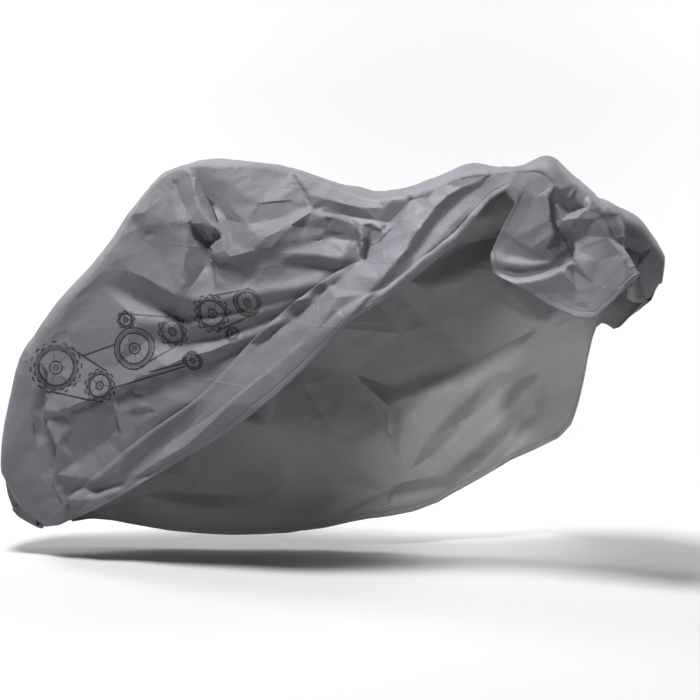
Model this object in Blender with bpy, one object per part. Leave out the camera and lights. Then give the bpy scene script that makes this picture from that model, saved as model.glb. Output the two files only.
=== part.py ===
"""Draped cover: two side panels of film cloth, joined by a seam along the ridge.

Metres. X runs toward the front, Y away from the near side, Z up. In the tables Z counts from
the ground, and X from a point under the rear slope. The finished cover is moved so that the
point that it rests on, under its rear peak, is the origin.
"""
import math

import bpy
import numpy as np

# Driving dimensions
restX = 0.215              # the point that carries the cover
restHeight = 0.966
sheetThickness = 0.002
seamGap = 0.0004           # between the two panels' cut edges
columnsPerSection = 2      # grid columns between two rows of a table

# How many grid rows each stretch of a panel gets, from the ridge down
shoulderRows = 5
nearWallRows = 13
nearBandRows = 3
farWallRows = 11

lapDepth = 0.016           # overlap of a fully closed lapped fold
rollFull = 0.012           # a hem rolled to this radius or more is a full roll
hemFlatStep = 0.011        # row spacing where the hem lies flat
shortPanel = 0.30          # the hem's rows draw together where a panel is shorter than this
hemWave = 0.004            # height of the small waves along both hems
hemWavePitch = 0.23

# The ridge, from the rear bottom corner over the peak, the waist and the hump to the front tip.
# near, far: how far the cloth reaches out to each side at its shoulder; drop: shoulder's depth
ridgeColumns = ("place", "x", "z", "near", "far", "drop")
ridge = (
    ("rear corner", -0.260, 0.070, 0.030, 0.035, 0.020),
    ("rear foot", -0.328, 0.112, 0.045, 0.050, 0.050),
    ("rear low", -0.364, 0.205, 0.060, 0.065, 0.075),
    ("rear middle", -0.356, 0.330, 0.065, 0.075, 0.090),
    ("rear rise", -0.316, 0.485, 0.065, 0.080, 0.090),
    ("rear slope low", -0.226, 0.625, 0.065, 0.080, 0.080),
    ("rear slope middle", -0.138, 0.724, 0.065, 0.080, 0.070),
    ("rear slope high", -0.049, 0.850, 0.065, 0.080, 0.060),
    ("below peak", 0.030, 0.941, 0.070, 0.080, 0.045),
    ("peak back", 0.116, 0.969, 0.080, 0.085, 0.035),
    ("peak middle", 0.214, 0.970, 0.080, 0.085, 0.032),
    ("peak front", 0.311, 0.964, 0.060, 0.070, 0.035),
    ("ahead of peak", 0.398, 0.938, 0.065, 0.075, 0.040),
    ("waist back", 0.480, 0.910, 0.085, 0.090, 0.040),
    ("waist", 0.564, 0.899, 0.105, 0.110, 0.040),
    ("waist front", 0.636, 0.910, 0.130, 0.140, 0.040),
    ("rise to hump", 0.706, 0.938, 0.155, 0.165, 0.038),
    ("hump back", 0.764, 0.956, 0.175, 0.185, 0.036),
    ("hump middle", 0.818, 0.960, 0.190, 0.200, 0.034),
    ("hump front", 0.870, 0.962, 0.195, 0.205, 0.034),
    ("brow back", 0.916, 0.966, 0.195, 0.205, 0.036),
    ("brow front", 0.951, 0.962, 0.195, 0.205, 0.040),
    ("brow end", 0.980, 0.940, 0.195, 0.205, 0.045),
    ("flap back", 0.995, 0.926, 0.195, 0.200, 0.050),
    ("flap rear fold", 1.008, 0.917, 0.195, 0.195, 0.050),
    ("flap middle", 1.022, 0.909, 0.200, 0.190, 0.050),
    ("flap low point", 1.037, 0.900, 0.205, 0.185, 0.050),
    ("flap front fold", 1.053, 0.891, 0.205, 0.180, 0.050),
    ("flap tip", 1.073, 0.881, 0.190, 0.170, 0.045),
    ("behind flap", 1.102, 0.867, 0.135, 0.155, 0.045),
    ("nose back", 1.143, 0.849, 0.100, 0.130, 0.045),
    ("nose top", 1.184, 0.816, 0.070, 0.100, 0.045),
    ("nose front", 1.218, 0.768, 0.045, 0.065, 0.035),
    ("front tip", 1.212, 0.714, 0.025, 0.035, 0.012),
)

# The near panel's free edge and what lies across the panel on the way down to it.
# lapAt: share of the way down where the lapped fold's edge lies; lap: its overlap (m)
# roll: radius of the rolled hem (m)
nearColumns = ("place", "x", "y", "z", "lapAt", "lap", "roll")
nearEdge = (
    ("rear corner", -0.210, -0.045, 0.084, 0.60, 0.000, 0.003),
    ("rear foot", -0.157, -0.065, 0.108, 0.70, 0.002, 0.003),
    ("rear low", -0.073, -0.085, 0.152, 0.76, 0.006, 0.004),
    ("rear middle", 0.027, -0.100, 0.214, 0.77, 0.010, 0.004),
    ("rear rise", 0.138, -0.115, 0.284, 0.78, 0.013, 0.004),
    ("rear slope low", 0.219, -0.130, 0.337, 0.79, 0.016, 0.005),
    ("rear slope middle", 0.284, -0.140, 0.385, 0.78, 0.016, 0.005),
    ("rear slope high", 0.338, -0.145, 0.429, 0.77, 0.016, 0.006),
    ("below peak", 0.384, -0.150, 0.475, 0.77, 0.016, 0.006),
    ("peak back", 0.425, -0.150, 0.518, 0.76, 0.016, 0.007),
    ("peak middle", 0.462, -0.152, 0.556, 0.74, 0.015, 0.008),
    ("peak front", 0.502, -0.155, 0.603, 0.72, 0.013, 0.010),
    ("ahead of peak", 0.543, -0.158, 0.630, 0.65, 0.010, 0.015),
    ("waist back", 0.589, -0.162, 0.661, 0.54, 0.006, 0.020),
    ("waist", 0.643, -0.170, 0.703, 0.42, 0.003, 0.026),
    ("waist front", 0.692, -0.180, 0.745, 0.30, 0.000, 0.034),
    ("rise to hump", 0.740, -0.190, 0.789, 0.24, 0.000, 0.040),
    ("hump back", 0.783, -0.200, 0.843, 0.28, 0.000, 0.030),
    ("hump middle", 0.812, -0.205, 0.882, 0.34, 0.000, 0.016),
    ("hump front", 0.846, -0.208, 0.905, 0.40, 0.000, 0.009),
    ("brow back", 0.868, -0.208, 0.880, 0.45, 0.000, 0.004),
    ("brow front", 0.848, -0.206, 0.833, 0.50, 0.000, 0.004),
    ("brow end", 0.818, -0.202, 0.782, 0.50, 0.000, 0.004),
    ("flap back", 0.822, -0.202, 0.725, 0.50, 0.000, 0.004),
    ("flap rear fold", 0.876, -0.208, 0.697, 0.50, 0.000, 0.004),
    ("flap middle", 0.952, -0.215, 0.654, 0.50, 0.000, 0.004),
    ("flap low point", 1.019, -0.222, 0.629, 0.50, 0.000, 0.004),
    ("flap front fold", 1.075, -0.225, 0.650, 0.50, 0.000, 0.004),
    ("flap tip", 1.129, -0.215, 0.716, 0.50, 0.000, 0.004),
    ("behind flap", 1.116, -0.150, 0.700, 0.50, 0.000, 0.004),
    ("nose back", 1.120, -0.100, 0.676, 0.50, 0.000, 0.004),
    ("nose top", 1.142, -0.060, 0.665, 0.50, 0.000, 0.004),
    ("nose front", 1.168, -0.030, 0.662, 0.50, 0.000, 0.003),
    ("front tip", 1.190, -0.010, 0.672, 0.50, 0.000, 0.003),
)

# The far panel's free edge, nearly down to the ground
farColumns = ("place", "x", "y", "z")
farEdge = (
    ("rear corner", -0.206, 0.055, 0.072),
    ("rear foot", -0.166, 0.078, 0.076),
    ("rear low", -0.120, 0.100, 0.069),
    ("rear middle", -0.044, 0.120, 0.054),
    ("rear rise", 0.032, 0.140, 0.042),
    ("rear slope low", 0.113, 0.150, 0.038),
    ("rear slope middle", 0.181, 0.160, 0.036),
    ("rear slope high", 0.252, 0.170, 0.037),
    ("below peak", 0.316, 0.175, 0.041),
    ("peak back", 0.366, 0.180, 0.047),
    ("peak middle", 0.417, 0.190, 0.055),
    ("peak front", 0.467, 0.200, 0.066),
    ("ahead of peak", 0.526, 0.205, 0.080),
    ("waist back", 0.587, 0.210, 0.092),
    ("waist", 0.645, 0.215, 0.105),
    ("waist front", 0.703, 0.220, 0.127),
    ("rise to hump", 0.759, 0.220, 0.162),
    ("hump back", 0.821, 0.220, 0.203),
    ("hump middle", 0.883, 0.220, 0.244),
    ("hump front", 0.946, 0.215, 0.272),
    ("brow back", 1.000, 0.212, 0.302),
    ("brow front", 1.034, 0.210, 0.342),
    ("brow end", 1.050, 0.208, 0.395),
    ("flap back", 1.062, 0.206, 0.455),
    ("flap rear fold", 1.070, 0.205, 0.510),
    ("flap middle", 1.078, 0.200, 0.555),
    ("flap low point", 1.087, 0.195, 0.588),
    ("flap front fold", 1.099, 0.185, 0.600),
    ("flap tip", 1.112, 0.170, 0.597),
    ("behind flap", 1.126, 0.150, 0.588),
    ("nose back", 1.139, 0.125, 0.595),
    ("nose top", 1.154, 0.090, 0.617),
    ("nose front", 1.168, 0.050, 0.640),
    ("front tip", 1.188, 0.020, 0.667),
)

# Main folds as lines across a panel, seen from its side: from (x1, z1) to (x2, z2).
# On top, which lies flat, z stands for y: from (x1, y1) to (x2, y2).
# height: how far the fold stands out, or stands in where negative; width: half its breadth
# shape: crease is a sharp crest, round a soft one, and step a slope that ends in a sharp drop
# columns: side, shape, x1, z1, x2, z2, width, height
folds = (
    # rear and lower half of the near panel
    ("near", "crease", -0.26, 0.37, -0.05, 0.43, 0.060, 0.026),
    ("near", "crease", -0.05, 0.44, 0.26, 0.54, 0.060, 0.030),
    ("near", "crease", 0.27, 0.54, 0.44, 0.65, 0.050, 0.024),
    ("near", "round", -0.20, 0.41, -0.07, 0.27, 0.065, -0.034),
    ("near", "round", -0.07, 0.41, -0.05, 0.27, 0.035, 0.018),
    ("near", "crease", -0.25, 0.24, 0.02, 0.23, 0.055, 0.022),
    ("near", "round", -0.22, 0.58, -0.20, 0.22, 0.045, 0.016),
    ("near", "round", -0.32, 0.44, -0.25, 0.16, 0.045, -0.018),
    # below the rear peak
    ("near", "round", -0.16, 0.72, 0.02, 0.70, 0.055, -0.026),
    ("near", "round", 0.02, 0.70, 0.16, 0.62, 0.055, -0.030),
    ("near", "crease", 0.10, 0.67, 0.38, 0.70, 0.055, 0.028),
    ("near", "crease", 0.38, 0.70, 0.55, 0.72, 0.045, 0.020),
    ("near", "crease", 0.04, 0.94, 0.12, 0.87, 0.050, 0.022),
    ("near", "crease", 0.12, 0.87, 0.20, 0.77, 0.050, 0.026),
    ("near", "round", 0.14, 0.86, 0.17, 0.77, 0.035, -0.026),
    ("near", "step", 0.20, 0.77, 0.44, 0.86, 0.045, 0.020),
    ("near", "crease", 0.34, 0.95, 0.42, 0.87, 0.045, 0.020),
    ("near", "round", 0.29, 0.88, 0.30, 0.74, 0.060, 0.018),
    ("near", "crease", -0.10, 0.80, 0.02, 0.62, 0.050, 0.020),
    # drawn tight toward the hump
    ("near", "round", 0.38, 0.75, 0.56, 0.80, 0.035, -0.018),
    ("near", "round", 0.43, 0.66, 0.58, 0.73, 0.035, -0.016),
    ("near", "crease", 0.52, 0.76, 0.66, 0.88, 0.040, 0.022),
    # bunched flap below the hump
    ("near", "crease", 0.92, 0.88, 0.98, 0.80, 0.036, 0.022),
    ("near", "round", 0.95, 0.87, 1.02, 0.82, 0.032, -0.024),
    ("near", "round", 0.86, 0.80, 0.99, 0.755, 0.028, -0.034),
    ("near", "crease", 0.83, 0.745, 0.99, 0.765, 0.030, 0.024),
    ("near", "crease", 0.85, 0.70, 1.00, 0.735, 0.032, 0.026),
    ("near", "round", 0.975, 0.79, 0.985, 0.67, 0.032, -0.032),
    ("near", "crease", 1.00, 0.82, 1.04, 0.63, 0.036, 0.030),
    ("near", "crease", 1.05, 0.84, 1.12, 0.72, 0.036, 0.012),
    ("near", "crease", 1.08, 0.79, 1.18, 0.78, 0.032, 0.018),
    ("near", "round", 1.10, 0.75, 1.18, 0.76, 0.040, -0.028),
    # far panel, where it shows below the near one
    ("far", "crease", 0.88, 0.27, 0.55, 0.14, 0.065, 0.034),
    ("far", "crease", 0.92, 0.36, 0.48, 0.31, 0.065, 0.034),
    ("far", "round", 0.88, 0.31, 0.58, 0.22, 0.045, -0.018),
    ("far", "crease", 0.98, 0.42, 0.76, 0.64, 0.070, 0.034),
    ("far", "round", 0.92, 0.40, 0.58, 0.52, 0.065, -0.032),
    ("far", "crease", -0.11, 0.12, 0.43, 0.22, 0.060, 0.028),
    ("far", "round", -0.05, 0.15, 0.24, 0.12, 0.045, -0.024),
    ("far", "crease", 1.04, 0.60, 1.00, 0.42, 0.050, 0.022),
    # rest of the far panel
    ("far", "crease", -0.30, 0.44, 0.22, 0.36, 0.070, 0.034),
    ("far", "round", -0.24, 0.57, 0.26, 0.50, 0.065, -0.032),
    ("far", "crease", -0.04, 0.84, 0.28, 0.60, 0.065, 0.032),
    ("far", "crease", 0.14, 0.94, 0.22, 0.72, 0.055, 0.024),
    ("far", "round", 0.24, 0.92, 0.38, 0.58, 0.060, -0.030),
    ("far", "crease", 0.34, 0.92, 0.60, 0.56, 0.065, 0.032),
    ("far", "round", 0.52, 0.82, 0.84, 0.86, 0.050, -0.024),
    ("far", "crease", 0.60, 0.70, 0.92, 0.90, 0.055, 0.028),
    ("far", "crease", 0.96, 0.90, 1.04, 0.64, 0.055, 0.026),
    # top: bumps where it is carried, and the sag between them
    ("top", "round", 0.08, 0.00, 0.24, 0.00, 0.050, 0.006),
    ("top", "round", 0.90, -0.17, 0.97, -0.18, 0.050, 0.016),
    ("top", "round", 0.90, 0.17, 0.97, 0.18, 0.050, 0.018),
    ("top", "round", 0.76, 0.00, 0.84, 0.00, 0.045, 0.010),
    ("top", "round", 0.86, -0.09, 0.98, -0.08, 0.050, -0.014),
    ("top", "round", 0.86, 0.09, 0.98, 0.10, 0.050, -0.016),
    ("top", "crease", 0.46, 0.03, 0.84, 0.15, 0.035, 0.010),
    ("top", "crease", 0.48, -0.03, 0.80, -0.15, 0.035, 0.010),
    ("top", "round", 0.40, 0.00, 0.70, 0.00, 0.030, -0.008),
)

# Look of each panel: colour, roughness
filmGrey = (0.150, 0.148, 0.158, 1.0)
filmGreyInside = (0.120, 0.119, 0.126, 1.0)
filmRoughness = 0.42


def clearScene():
    for thing in list(bpy.data.objects):
        bpy.data.objects.remove(thing, do_unlink=True)


def smoothThrough(values, perSection):
    """Points on a smooth curve through the table's values, with perSection steps a row."""
    result = []
    last = len(values) - 1
    for row in range(last):
        before = values[max(row - 1, 0)]
        start = values[row]
        end = values[row + 1]
        after = values[min(row + 2, last)]
        for step in range(perSection):
            t = step / perSection
            bend = (end - before) * t + (2 * before - 5 * start + 4 * end - after) * t ** 2
            bend += (3 * start - before - 3 * end + after) * t ** 3
            result.append(start + bend / 2)
    result.append(values[-1])
    return np.array(result)


def readTable(names, rows):
    """Each named column as a smooth run of values along the cover."""
    table = {}
    for place, name in enumerate(names[1:], start=1):
        table[name] = smoothThrough([row[place] for row in rows], columnsPerSection)
    return table


def shoulderSteps():
    """Share down and share out of the rounded shoulder, as a quarter of an ellipse."""
    angles = [math.radians(90.0 * step / shoulderRows) for step in range(1, shoulderRows + 1)]
    return [(1 - math.cos(angle), math.sin(angle)) for angle in angles]


def lapShape():
    """The closed lapped fold's rows as (way down, way out) from its edge, in metres."""
    rows = ((-0.45, 0.00), (0.90, -0.05), (1.10, 0.25), (0.25, 0.45), (-0.05, 0.70), (0.35, 0.95))
    return [(down * lapDepth, out * lapDepth) for down, out in rows]


def hemShape(radius, length):
    """The hem's rows as (way back from the edge, way out): a roll, or flat where it is small."""
    angles = (0, 35, 70, 105, 140, 180, 215)
    amount = min(radius / rollFull, 1.0) ** 2
    flatStep = hemFlatStep * min(length / shortPanel, 1.0)
    rows = []
    for row, degrees in enumerate(angles):
        angle = math.radians(degrees)
        rolledBack = radius + radius * math.cos(angle)
        rolledOut = radius * math.sin(angle) - 0.15 * radius
        flatBack = (len(angles) - 1 - row) * flatStep
        rows.append((amount * rolledBack + (1 - amount) * flatBack, amount * rolledOut))
    return rows


def spaced(start, end, count):
    """Shares spaced evenly between two shares, without the two."""
    return [start + (end - start) * (place + 1) / (count + 1) for place in range(count)]


def baseOut(share, shoulderShare, shoulderOut, edgeOut):
    """How far a panel stands out from the middle plane at a share of the way down."""
    if share < shoulderShare:
        left = 1 - share / shoulderShare
        return shoulderOut * math.sqrt(max(1 - left * left, 0.0))
    down = (share - shoulderShare) / (1 - shoulderShare)
    return shoulderOut + (edgeOut - shoulderOut) * down


def nearSteps(length, drop, lapAt, lap, roll):
    """The near panel's rows as (share down, way out) from just under the ridge to the hem."""
    shoulderShare = min(drop / length, 0.35)
    steps = [(shoulderShare * down, 0.0) for down, out in shoulderSteps()]
    radius = min(roll, 0.2 * length)
    hemRows = [(1 - back / length, out) for back, out in hemShape(radius, length)]
    lapRows = [(lapAt + down / length, out) for down, out in lapShape()]
    lapped = [(share, 0.0) for share in spaced(shoulderShare, lapRows[0][0], nearWallRows)]
    lapped += lapRows
    for share in spaced(lapRows[-1][0], hemRows[0][0], nearBandRows):
        left = (hemRows[0][0] - share) / (hemRows[0][0] - lapRows[-1][0])
        lapped.append((share, lapRows[-1][1] * left))
    even = spaced(shoulderShare, hemRows[0][0], len(lapped))
    closed = min(lap / lapDepth, 1.0)
    for (share, out), evenShare in zip(lapped, even):
        steps.append((closed * share + (1 - closed) * evenShare, closed * out))
    return steps + hemRows, shoulderShare


def farSteps(length, drop):
    """The far panel's rows, as in nearSteps, without a lap or a roll."""
    shoulderShare = min(drop / length, 0.35)
    steps = [(shoulderShare * down, 0.0) for down, out in shoulderSteps()]
    for row in range(1, farWallRows + 1):
        t = row / farWallRows
        steps.append((shoulderShare + (1 - shoulderShare) * t, 0.0))
    return steps, shoulderShare


def foldHeight(side, x, z):
    """Sum of the side's folds at the points (x, z)."""
    total = np.zeros_like(x)
    for name, shape, x1, z1, x2, z2, width, height in folds:
        if name != side:
            continue
        length = math.hypot(x2 - x1, z2 - z1)
        alongX = (x2 - x1) / length
        alongZ = (z2 - z1) / length
        along = (x - x1) * alongX + (z - z1) * alongZ
        across = (z - z1) * alongX - (x - x1) * alongZ
        ends = np.clip(np.minimum(along + width, length + width - along) / (2 * width), 0, 1)
        if shape == "step":
            slope = np.clip(1 + across / (2.5 * width), 0, 1)
            drop = np.clip(1 - across / (0.3 * width), 0, 1)
            profile = np.where(across < 0, slope, drop)
        else:
            profile = np.clip(1 - np.abs(across) / width, 0, 1)
        if shape == "round":
            profile = profile * profile * (3 - 2 * profile)
        total += height * profile * ends * ends * (3 - 2 * ends)
    return total


def sideGrid(side, ridgeTable, edgeTable):
    """Middle surface of one side, as columns along the cover and rows down from the ridge."""
    sign = -1.0 if side == "near" else 1.0
    columns = []
    for column in range(len(ridgeTable["x"])):
        ridgeX, ridgeZ, drop = (ridgeTable[name][column] for name in ("x", "z", "drop"))
        edgeX, edgeY, edgeZ = (edgeTable[name][column] for name in ("x", "y", "z"))
        length = math.hypot(edgeX - ridgeX, edgeZ - ridgeZ)
        if side == "near":
            lapAt, lap, roll = (edgeTable[name][column] for name in ("lapAt", "lap", "roll"))
            steps, shoulderShare = nearSteps(length, drop, lapAt, max(lap, 0.0), roll)
        else:
            steps, shoulderShare = farSteps(length, drop)
        points = []
        for share, out in steps:
            wide = baseOut(share, shoulderShare, ridgeTable[side][column], abs(edgeY)) + out
            hemNear = max(0.0, 1 - (1 - share) * length / 0.15)
            wave = hemWave * hemNear * math.sin(2 * math.pi * edgeX / hemWavePitch)
            x = ridgeX + (edgeX - ridgeX) * share
            z = ridgeZ + (edgeZ - ridgeZ) * share
            points.append((x, sign * (wide + wave), z))
        columns.append(points)
    return np.array(columns)


def unitSteps(grid, axis):
    """Direction of the sheet at each grid point: the mean of the steps before and after it."""
    steps = np.diff(grid, axis=axis)
    steps = steps / np.maximum(np.linalg.norm(steps, axis=2, keepdims=True), 1e-9)
    first = np.take(steps, [0], axis=axis)
    last = np.take(steps, [-1], axis=axis)
    return np.concatenate([first, steps], axis=axis) + np.concatenate([steps, last], axis=axis)


def gridNormals(grid):
    """Unit normals of a grid of points, pointing up at the ridge and out at the sides."""
    normals = np.cross(unitSteps(grid, 0), unitSteps(grid, 1))
    return normals / np.maximum(np.linalg.norm(normals, axis=2, keepdims=True), 1e-9)


def coverGrid():
    """The whole cover's middle surface: rows from the near hem over the ridge to the far hem."""
    ridgeTable = readTable(ridgeColumns, ridge)
    near = sideGrid("near", ridgeTable, readTable(nearColumns, nearEdge))
    far = sideGrid("far", ridgeTable, readTable(farColumns, farEdge))
    seam = np.stack([ridgeTable["x"], np.zeros_like(ridgeTable["x"]), ridgeTable["z"]], axis=1)
    whole = np.concatenate([near[:, ::-1], seam[:, None], far], axis=1)
    seamRow = near.shape[1]
    nearPart = whole[:, :seamRow]
    farPart = whole[:, seamRow + 1:]
    heights = np.zeros(whole.shape[:2])
    heights[:, :seamRow] = foldHeight("near", nearPart[..., 0], nearPart[..., 2])
    heights[:, seamRow + 1:] = foldHeight("far", farPart[..., 0], farPart[..., 2])
    flatness = np.zeros(whole.shape[:2])
    top = slice(seamRow - shoulderRows, seamRow + shoulderRows + 1)
    flatness[:, top] = np.clip(gridNormals(whole)[:, top, 2], 0, 1) ** 2
    result = whole.copy()
    result[..., 1] += np.sign(whole[..., 1]) * heights * (1 - flatness)
    result[..., 2] += foldHeight("top", whole[..., 0], whole[..., 1]) * flatness
    return result, seamRow


def gridTriangles(grid):
    """Two triangles for each cell of the grid, split along its shorter diagonal."""
    columns, rows = grid.shape[:2]
    points = grid.reshape(-1, 3)
    triangles = []
    for column in range(columns - 1):
        for row in range(rows - 1):
            a = column * rows + row
            b, c, d = a + rows, a + rows + 1, a + 1
            if np.linalg.norm(points[a] - points[c]) < np.linalg.norm(points[b] - points[d]):
                triangles += [(a, b, c), (a, c, d)]
            else:
                triangles += [(a, b, d), (b, c, d)]
    return triangles


def shellMesh(name, grid, normals):
    """A closed sheet of the cloth's thickness around a grid of points."""
    columns, rows = grid.shape[:2]
    half = sheetThickness / 2
    outer = (grid + normals * half).reshape(-1, 3)
    inner = (grid - normals * half).reshape(-1, 3)
    count = columns * rows
    triangles = gridTriangles(grid)
    faces = triangles + [tuple(index + count for index in reversed(face)) for face in triangles]
    rim = [column * rows for column in range(columns)]
    rim += [(columns - 1) * rows + row for row in range(1, rows)]
    rim += [column * rows + rows - 1 for column in range(columns - 2, -1, -1)]
    rim += list(range(rows - 2, 0, -1))
    for place, index in enumerate(rim):
        following = rim[(place + 1) % len(rim)]
        faces.append((index, index + count, following + count, following))
    mesh = bpy.data.meshes.new(name)
    mesh.from_pydata(np.concatenate([outer, inner]).tolist(), [], faces)
    mesh.update()
    return mesh


def filmMaterial(name, colour):
    material = bpy.data.materials.new(name)
    material.use_nodes = True
    shader = material.node_tree.nodes["Principled BSDF"]
    shader.inputs["Base Color"].default_value = colour
    shader.inputs["Roughness"].default_value = filmRoughness
    shader.inputs["Metallic"].default_value = 0.0
    return material


def addPanel(name, grid, normals, colour):
    mesh = shellMesh(name, grid, normals)
    mesh.materials.append(filmMaterial(name + "_film", colour))
    panel = bpy.data.objects.new(name, mesh)
    panel.location = (-restX, 0.0, -restHeight)
    bpy.context.scene.collection.objects.link(panel)
    for face in mesh.polygons:
        face.use_smooth = True


def trimmedAtSeam(grid, seamColumn, neighbour):
    """The grid with its seam row drawn back by half of the gap between the panels."""
    result = grid.copy()
    toward = grid[:, neighbour] - grid[:, seamColumn]
    sizes = np.linalg.norm(toward, axis=1, keepdims=True)
    result[:, seamColumn] += toward / sizes * seamGap / 2
    return result


def main():
    clearScene()
    whole, seamRow = coverGrid()
    normals = gridNormals(whole)
    near = trimmedAtSeam(whole[:, :seamRow + 1], -1, -2)
    far = trimmedAtSeam(whole[:, seamRow:], 0, 1)
    addPanel("near_side_panel", near, normals[:, :seamRow + 1], filmGrey)
    addPanel("far_side_panel", far, normals[:, seamRow:], filmGreyInside)


main()
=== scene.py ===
import math

import bpy
import numpy as np
from mathutils import Matrix, Vector, geometry


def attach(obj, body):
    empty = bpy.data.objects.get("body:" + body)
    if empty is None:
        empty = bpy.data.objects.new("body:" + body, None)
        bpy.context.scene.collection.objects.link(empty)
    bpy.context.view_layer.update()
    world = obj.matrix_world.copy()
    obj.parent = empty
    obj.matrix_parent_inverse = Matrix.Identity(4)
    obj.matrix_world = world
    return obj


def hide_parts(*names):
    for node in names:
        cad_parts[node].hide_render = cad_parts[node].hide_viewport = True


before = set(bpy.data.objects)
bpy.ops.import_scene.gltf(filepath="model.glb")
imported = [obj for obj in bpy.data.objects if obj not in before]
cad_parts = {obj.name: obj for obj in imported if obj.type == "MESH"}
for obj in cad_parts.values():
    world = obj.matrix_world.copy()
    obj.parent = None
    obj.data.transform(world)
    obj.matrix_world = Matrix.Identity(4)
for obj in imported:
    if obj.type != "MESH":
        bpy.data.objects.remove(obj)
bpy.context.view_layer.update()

# Tables count x from a point under the rear slope and z from the ground, in metres.
# The frame's origin is the point that carries the cover, so everything moves by this at the end.
restPoint = Vector((0.215, 0.0, 0.966))

coverSettings = {
    "clothThickness": 0.0009,
    "seamGap": 0.0008,
    "columnSize": 0.0064,      # spacing of the fine mesh along the cover
    "nearRowSize": 0.0050,     # and down the panels
    "farRowSize": 0.0080,
    "shoulderDrop": 0.55,      # how tall the rounding under the ridge is, of the table's drop
    "shoulderMost": 0.35,      # and of the panel's height, at most
    "ridgeFade": 0.030,        # folds fade out this near the ridge
    "singleFrom": 0.98,        # cloth with at least this share of a single layer may be folded
    "flatFrom": 0.3,           # and cloth that lies flatter than this on top may not
    "nearArea": 1.30,          # what each panel was cut to, in square metres
    "farArea": 1.55,
    "seed": 11,
}

# The draped shape, as sections along the cover
ridgeColumns = ("place", "x", "z", "near", "far", "drop")
ridge = (
    ("rear corner", -0.260, 0.070, 0.030, 0.035, 0.020),
    ("rear foot", -0.328, 0.112, 0.045, 0.050, 0.050),
    ("rear low", -0.364, 0.205, 0.060, 0.065, 0.075),
    ("rear middle", -0.356, 0.330, 0.065, 0.075, 0.090),
    ("rear rise", -0.316, 0.485, 0.065, 0.080, 0.090),
    ("rear slope low", -0.226, 0.625, 0.065, 0.080, 0.080),
    ("rear slope middle", -0.138, 0.724, 0.065, 0.080, 0.070),
    ("rear slope high", -0.049, 0.850, 0.065, 0.080, 0.060),
    ("below peak", 0.030, 0.941, 0.070, 0.080, 0.045),
    ("peak back", 0.116, 0.969, 0.080, 0.085, 0.035),
    ("peak middle", 0.214, 0.970, 0.080, 0.085, 0.032),
    ("peak front", 0.311, 0.964, 0.060, 0.070, 0.035),
    ("ahead of peak", 0.398, 0.938, 0.065, 0.075, 0.040),
    ("waist back", 0.480, 0.910, 0.085, 0.090, 0.040),
    ("waist", 0.564, 0.899, 0.105, 0.110, 0.040),
    ("waist front", 0.636, 0.910, 0.130, 0.140, 0.040),
    ("rise to hump", 0.706, 0.938, 0.155, 0.165, 0.038),
    ("hump back", 0.764, 0.956, 0.175, 0.185, 0.036),
    ("hump middle", 0.818, 0.960, 0.190, 0.200, 0.034),
    ("hump front", 0.870, 0.962, 0.195, 0.205, 0.034),
    ("brow back", 0.916, 0.966, 0.195, 0.205, 0.036),
    ("brow front", 0.951, 0.962, 0.195, 0.205, 0.040),
    ("brow end", 0.980, 0.940, 0.195, 0.205, 0.045),
    ("flap back", 0.995, 0.926, 0.195, 0.200, 0.050),
    ("flap rear fold", 1.008, 0.917, 0.195, 0.195, 0.050),
    ("flap middle", 1.022, 0.909, 0.200, 0.190, 0.050),
    ("flap low point", 1.037, 0.900, 0.205, 0.185, 0.050),
    ("flap front fold", 1.053, 0.891, 0.205, 0.180, 0.050),
    ("flap tip", 1.073, 0.881, 0.190, 0.170, 0.045),
    ("behind flap", 1.102, 0.867, 0.135, 0.155, 0.045),
    ("nose back", 1.143, 0.849, 0.100, 0.130, 0.045),
    ("nose top", 1.184, 0.816, 0.070, 0.100, 0.045),
    ("nose front", 1.218, 0.768, 0.045, 0.065, 0.035),
    ("front tip", 1.212, 0.714, 0.025, 0.035, 0.012),
)

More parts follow.
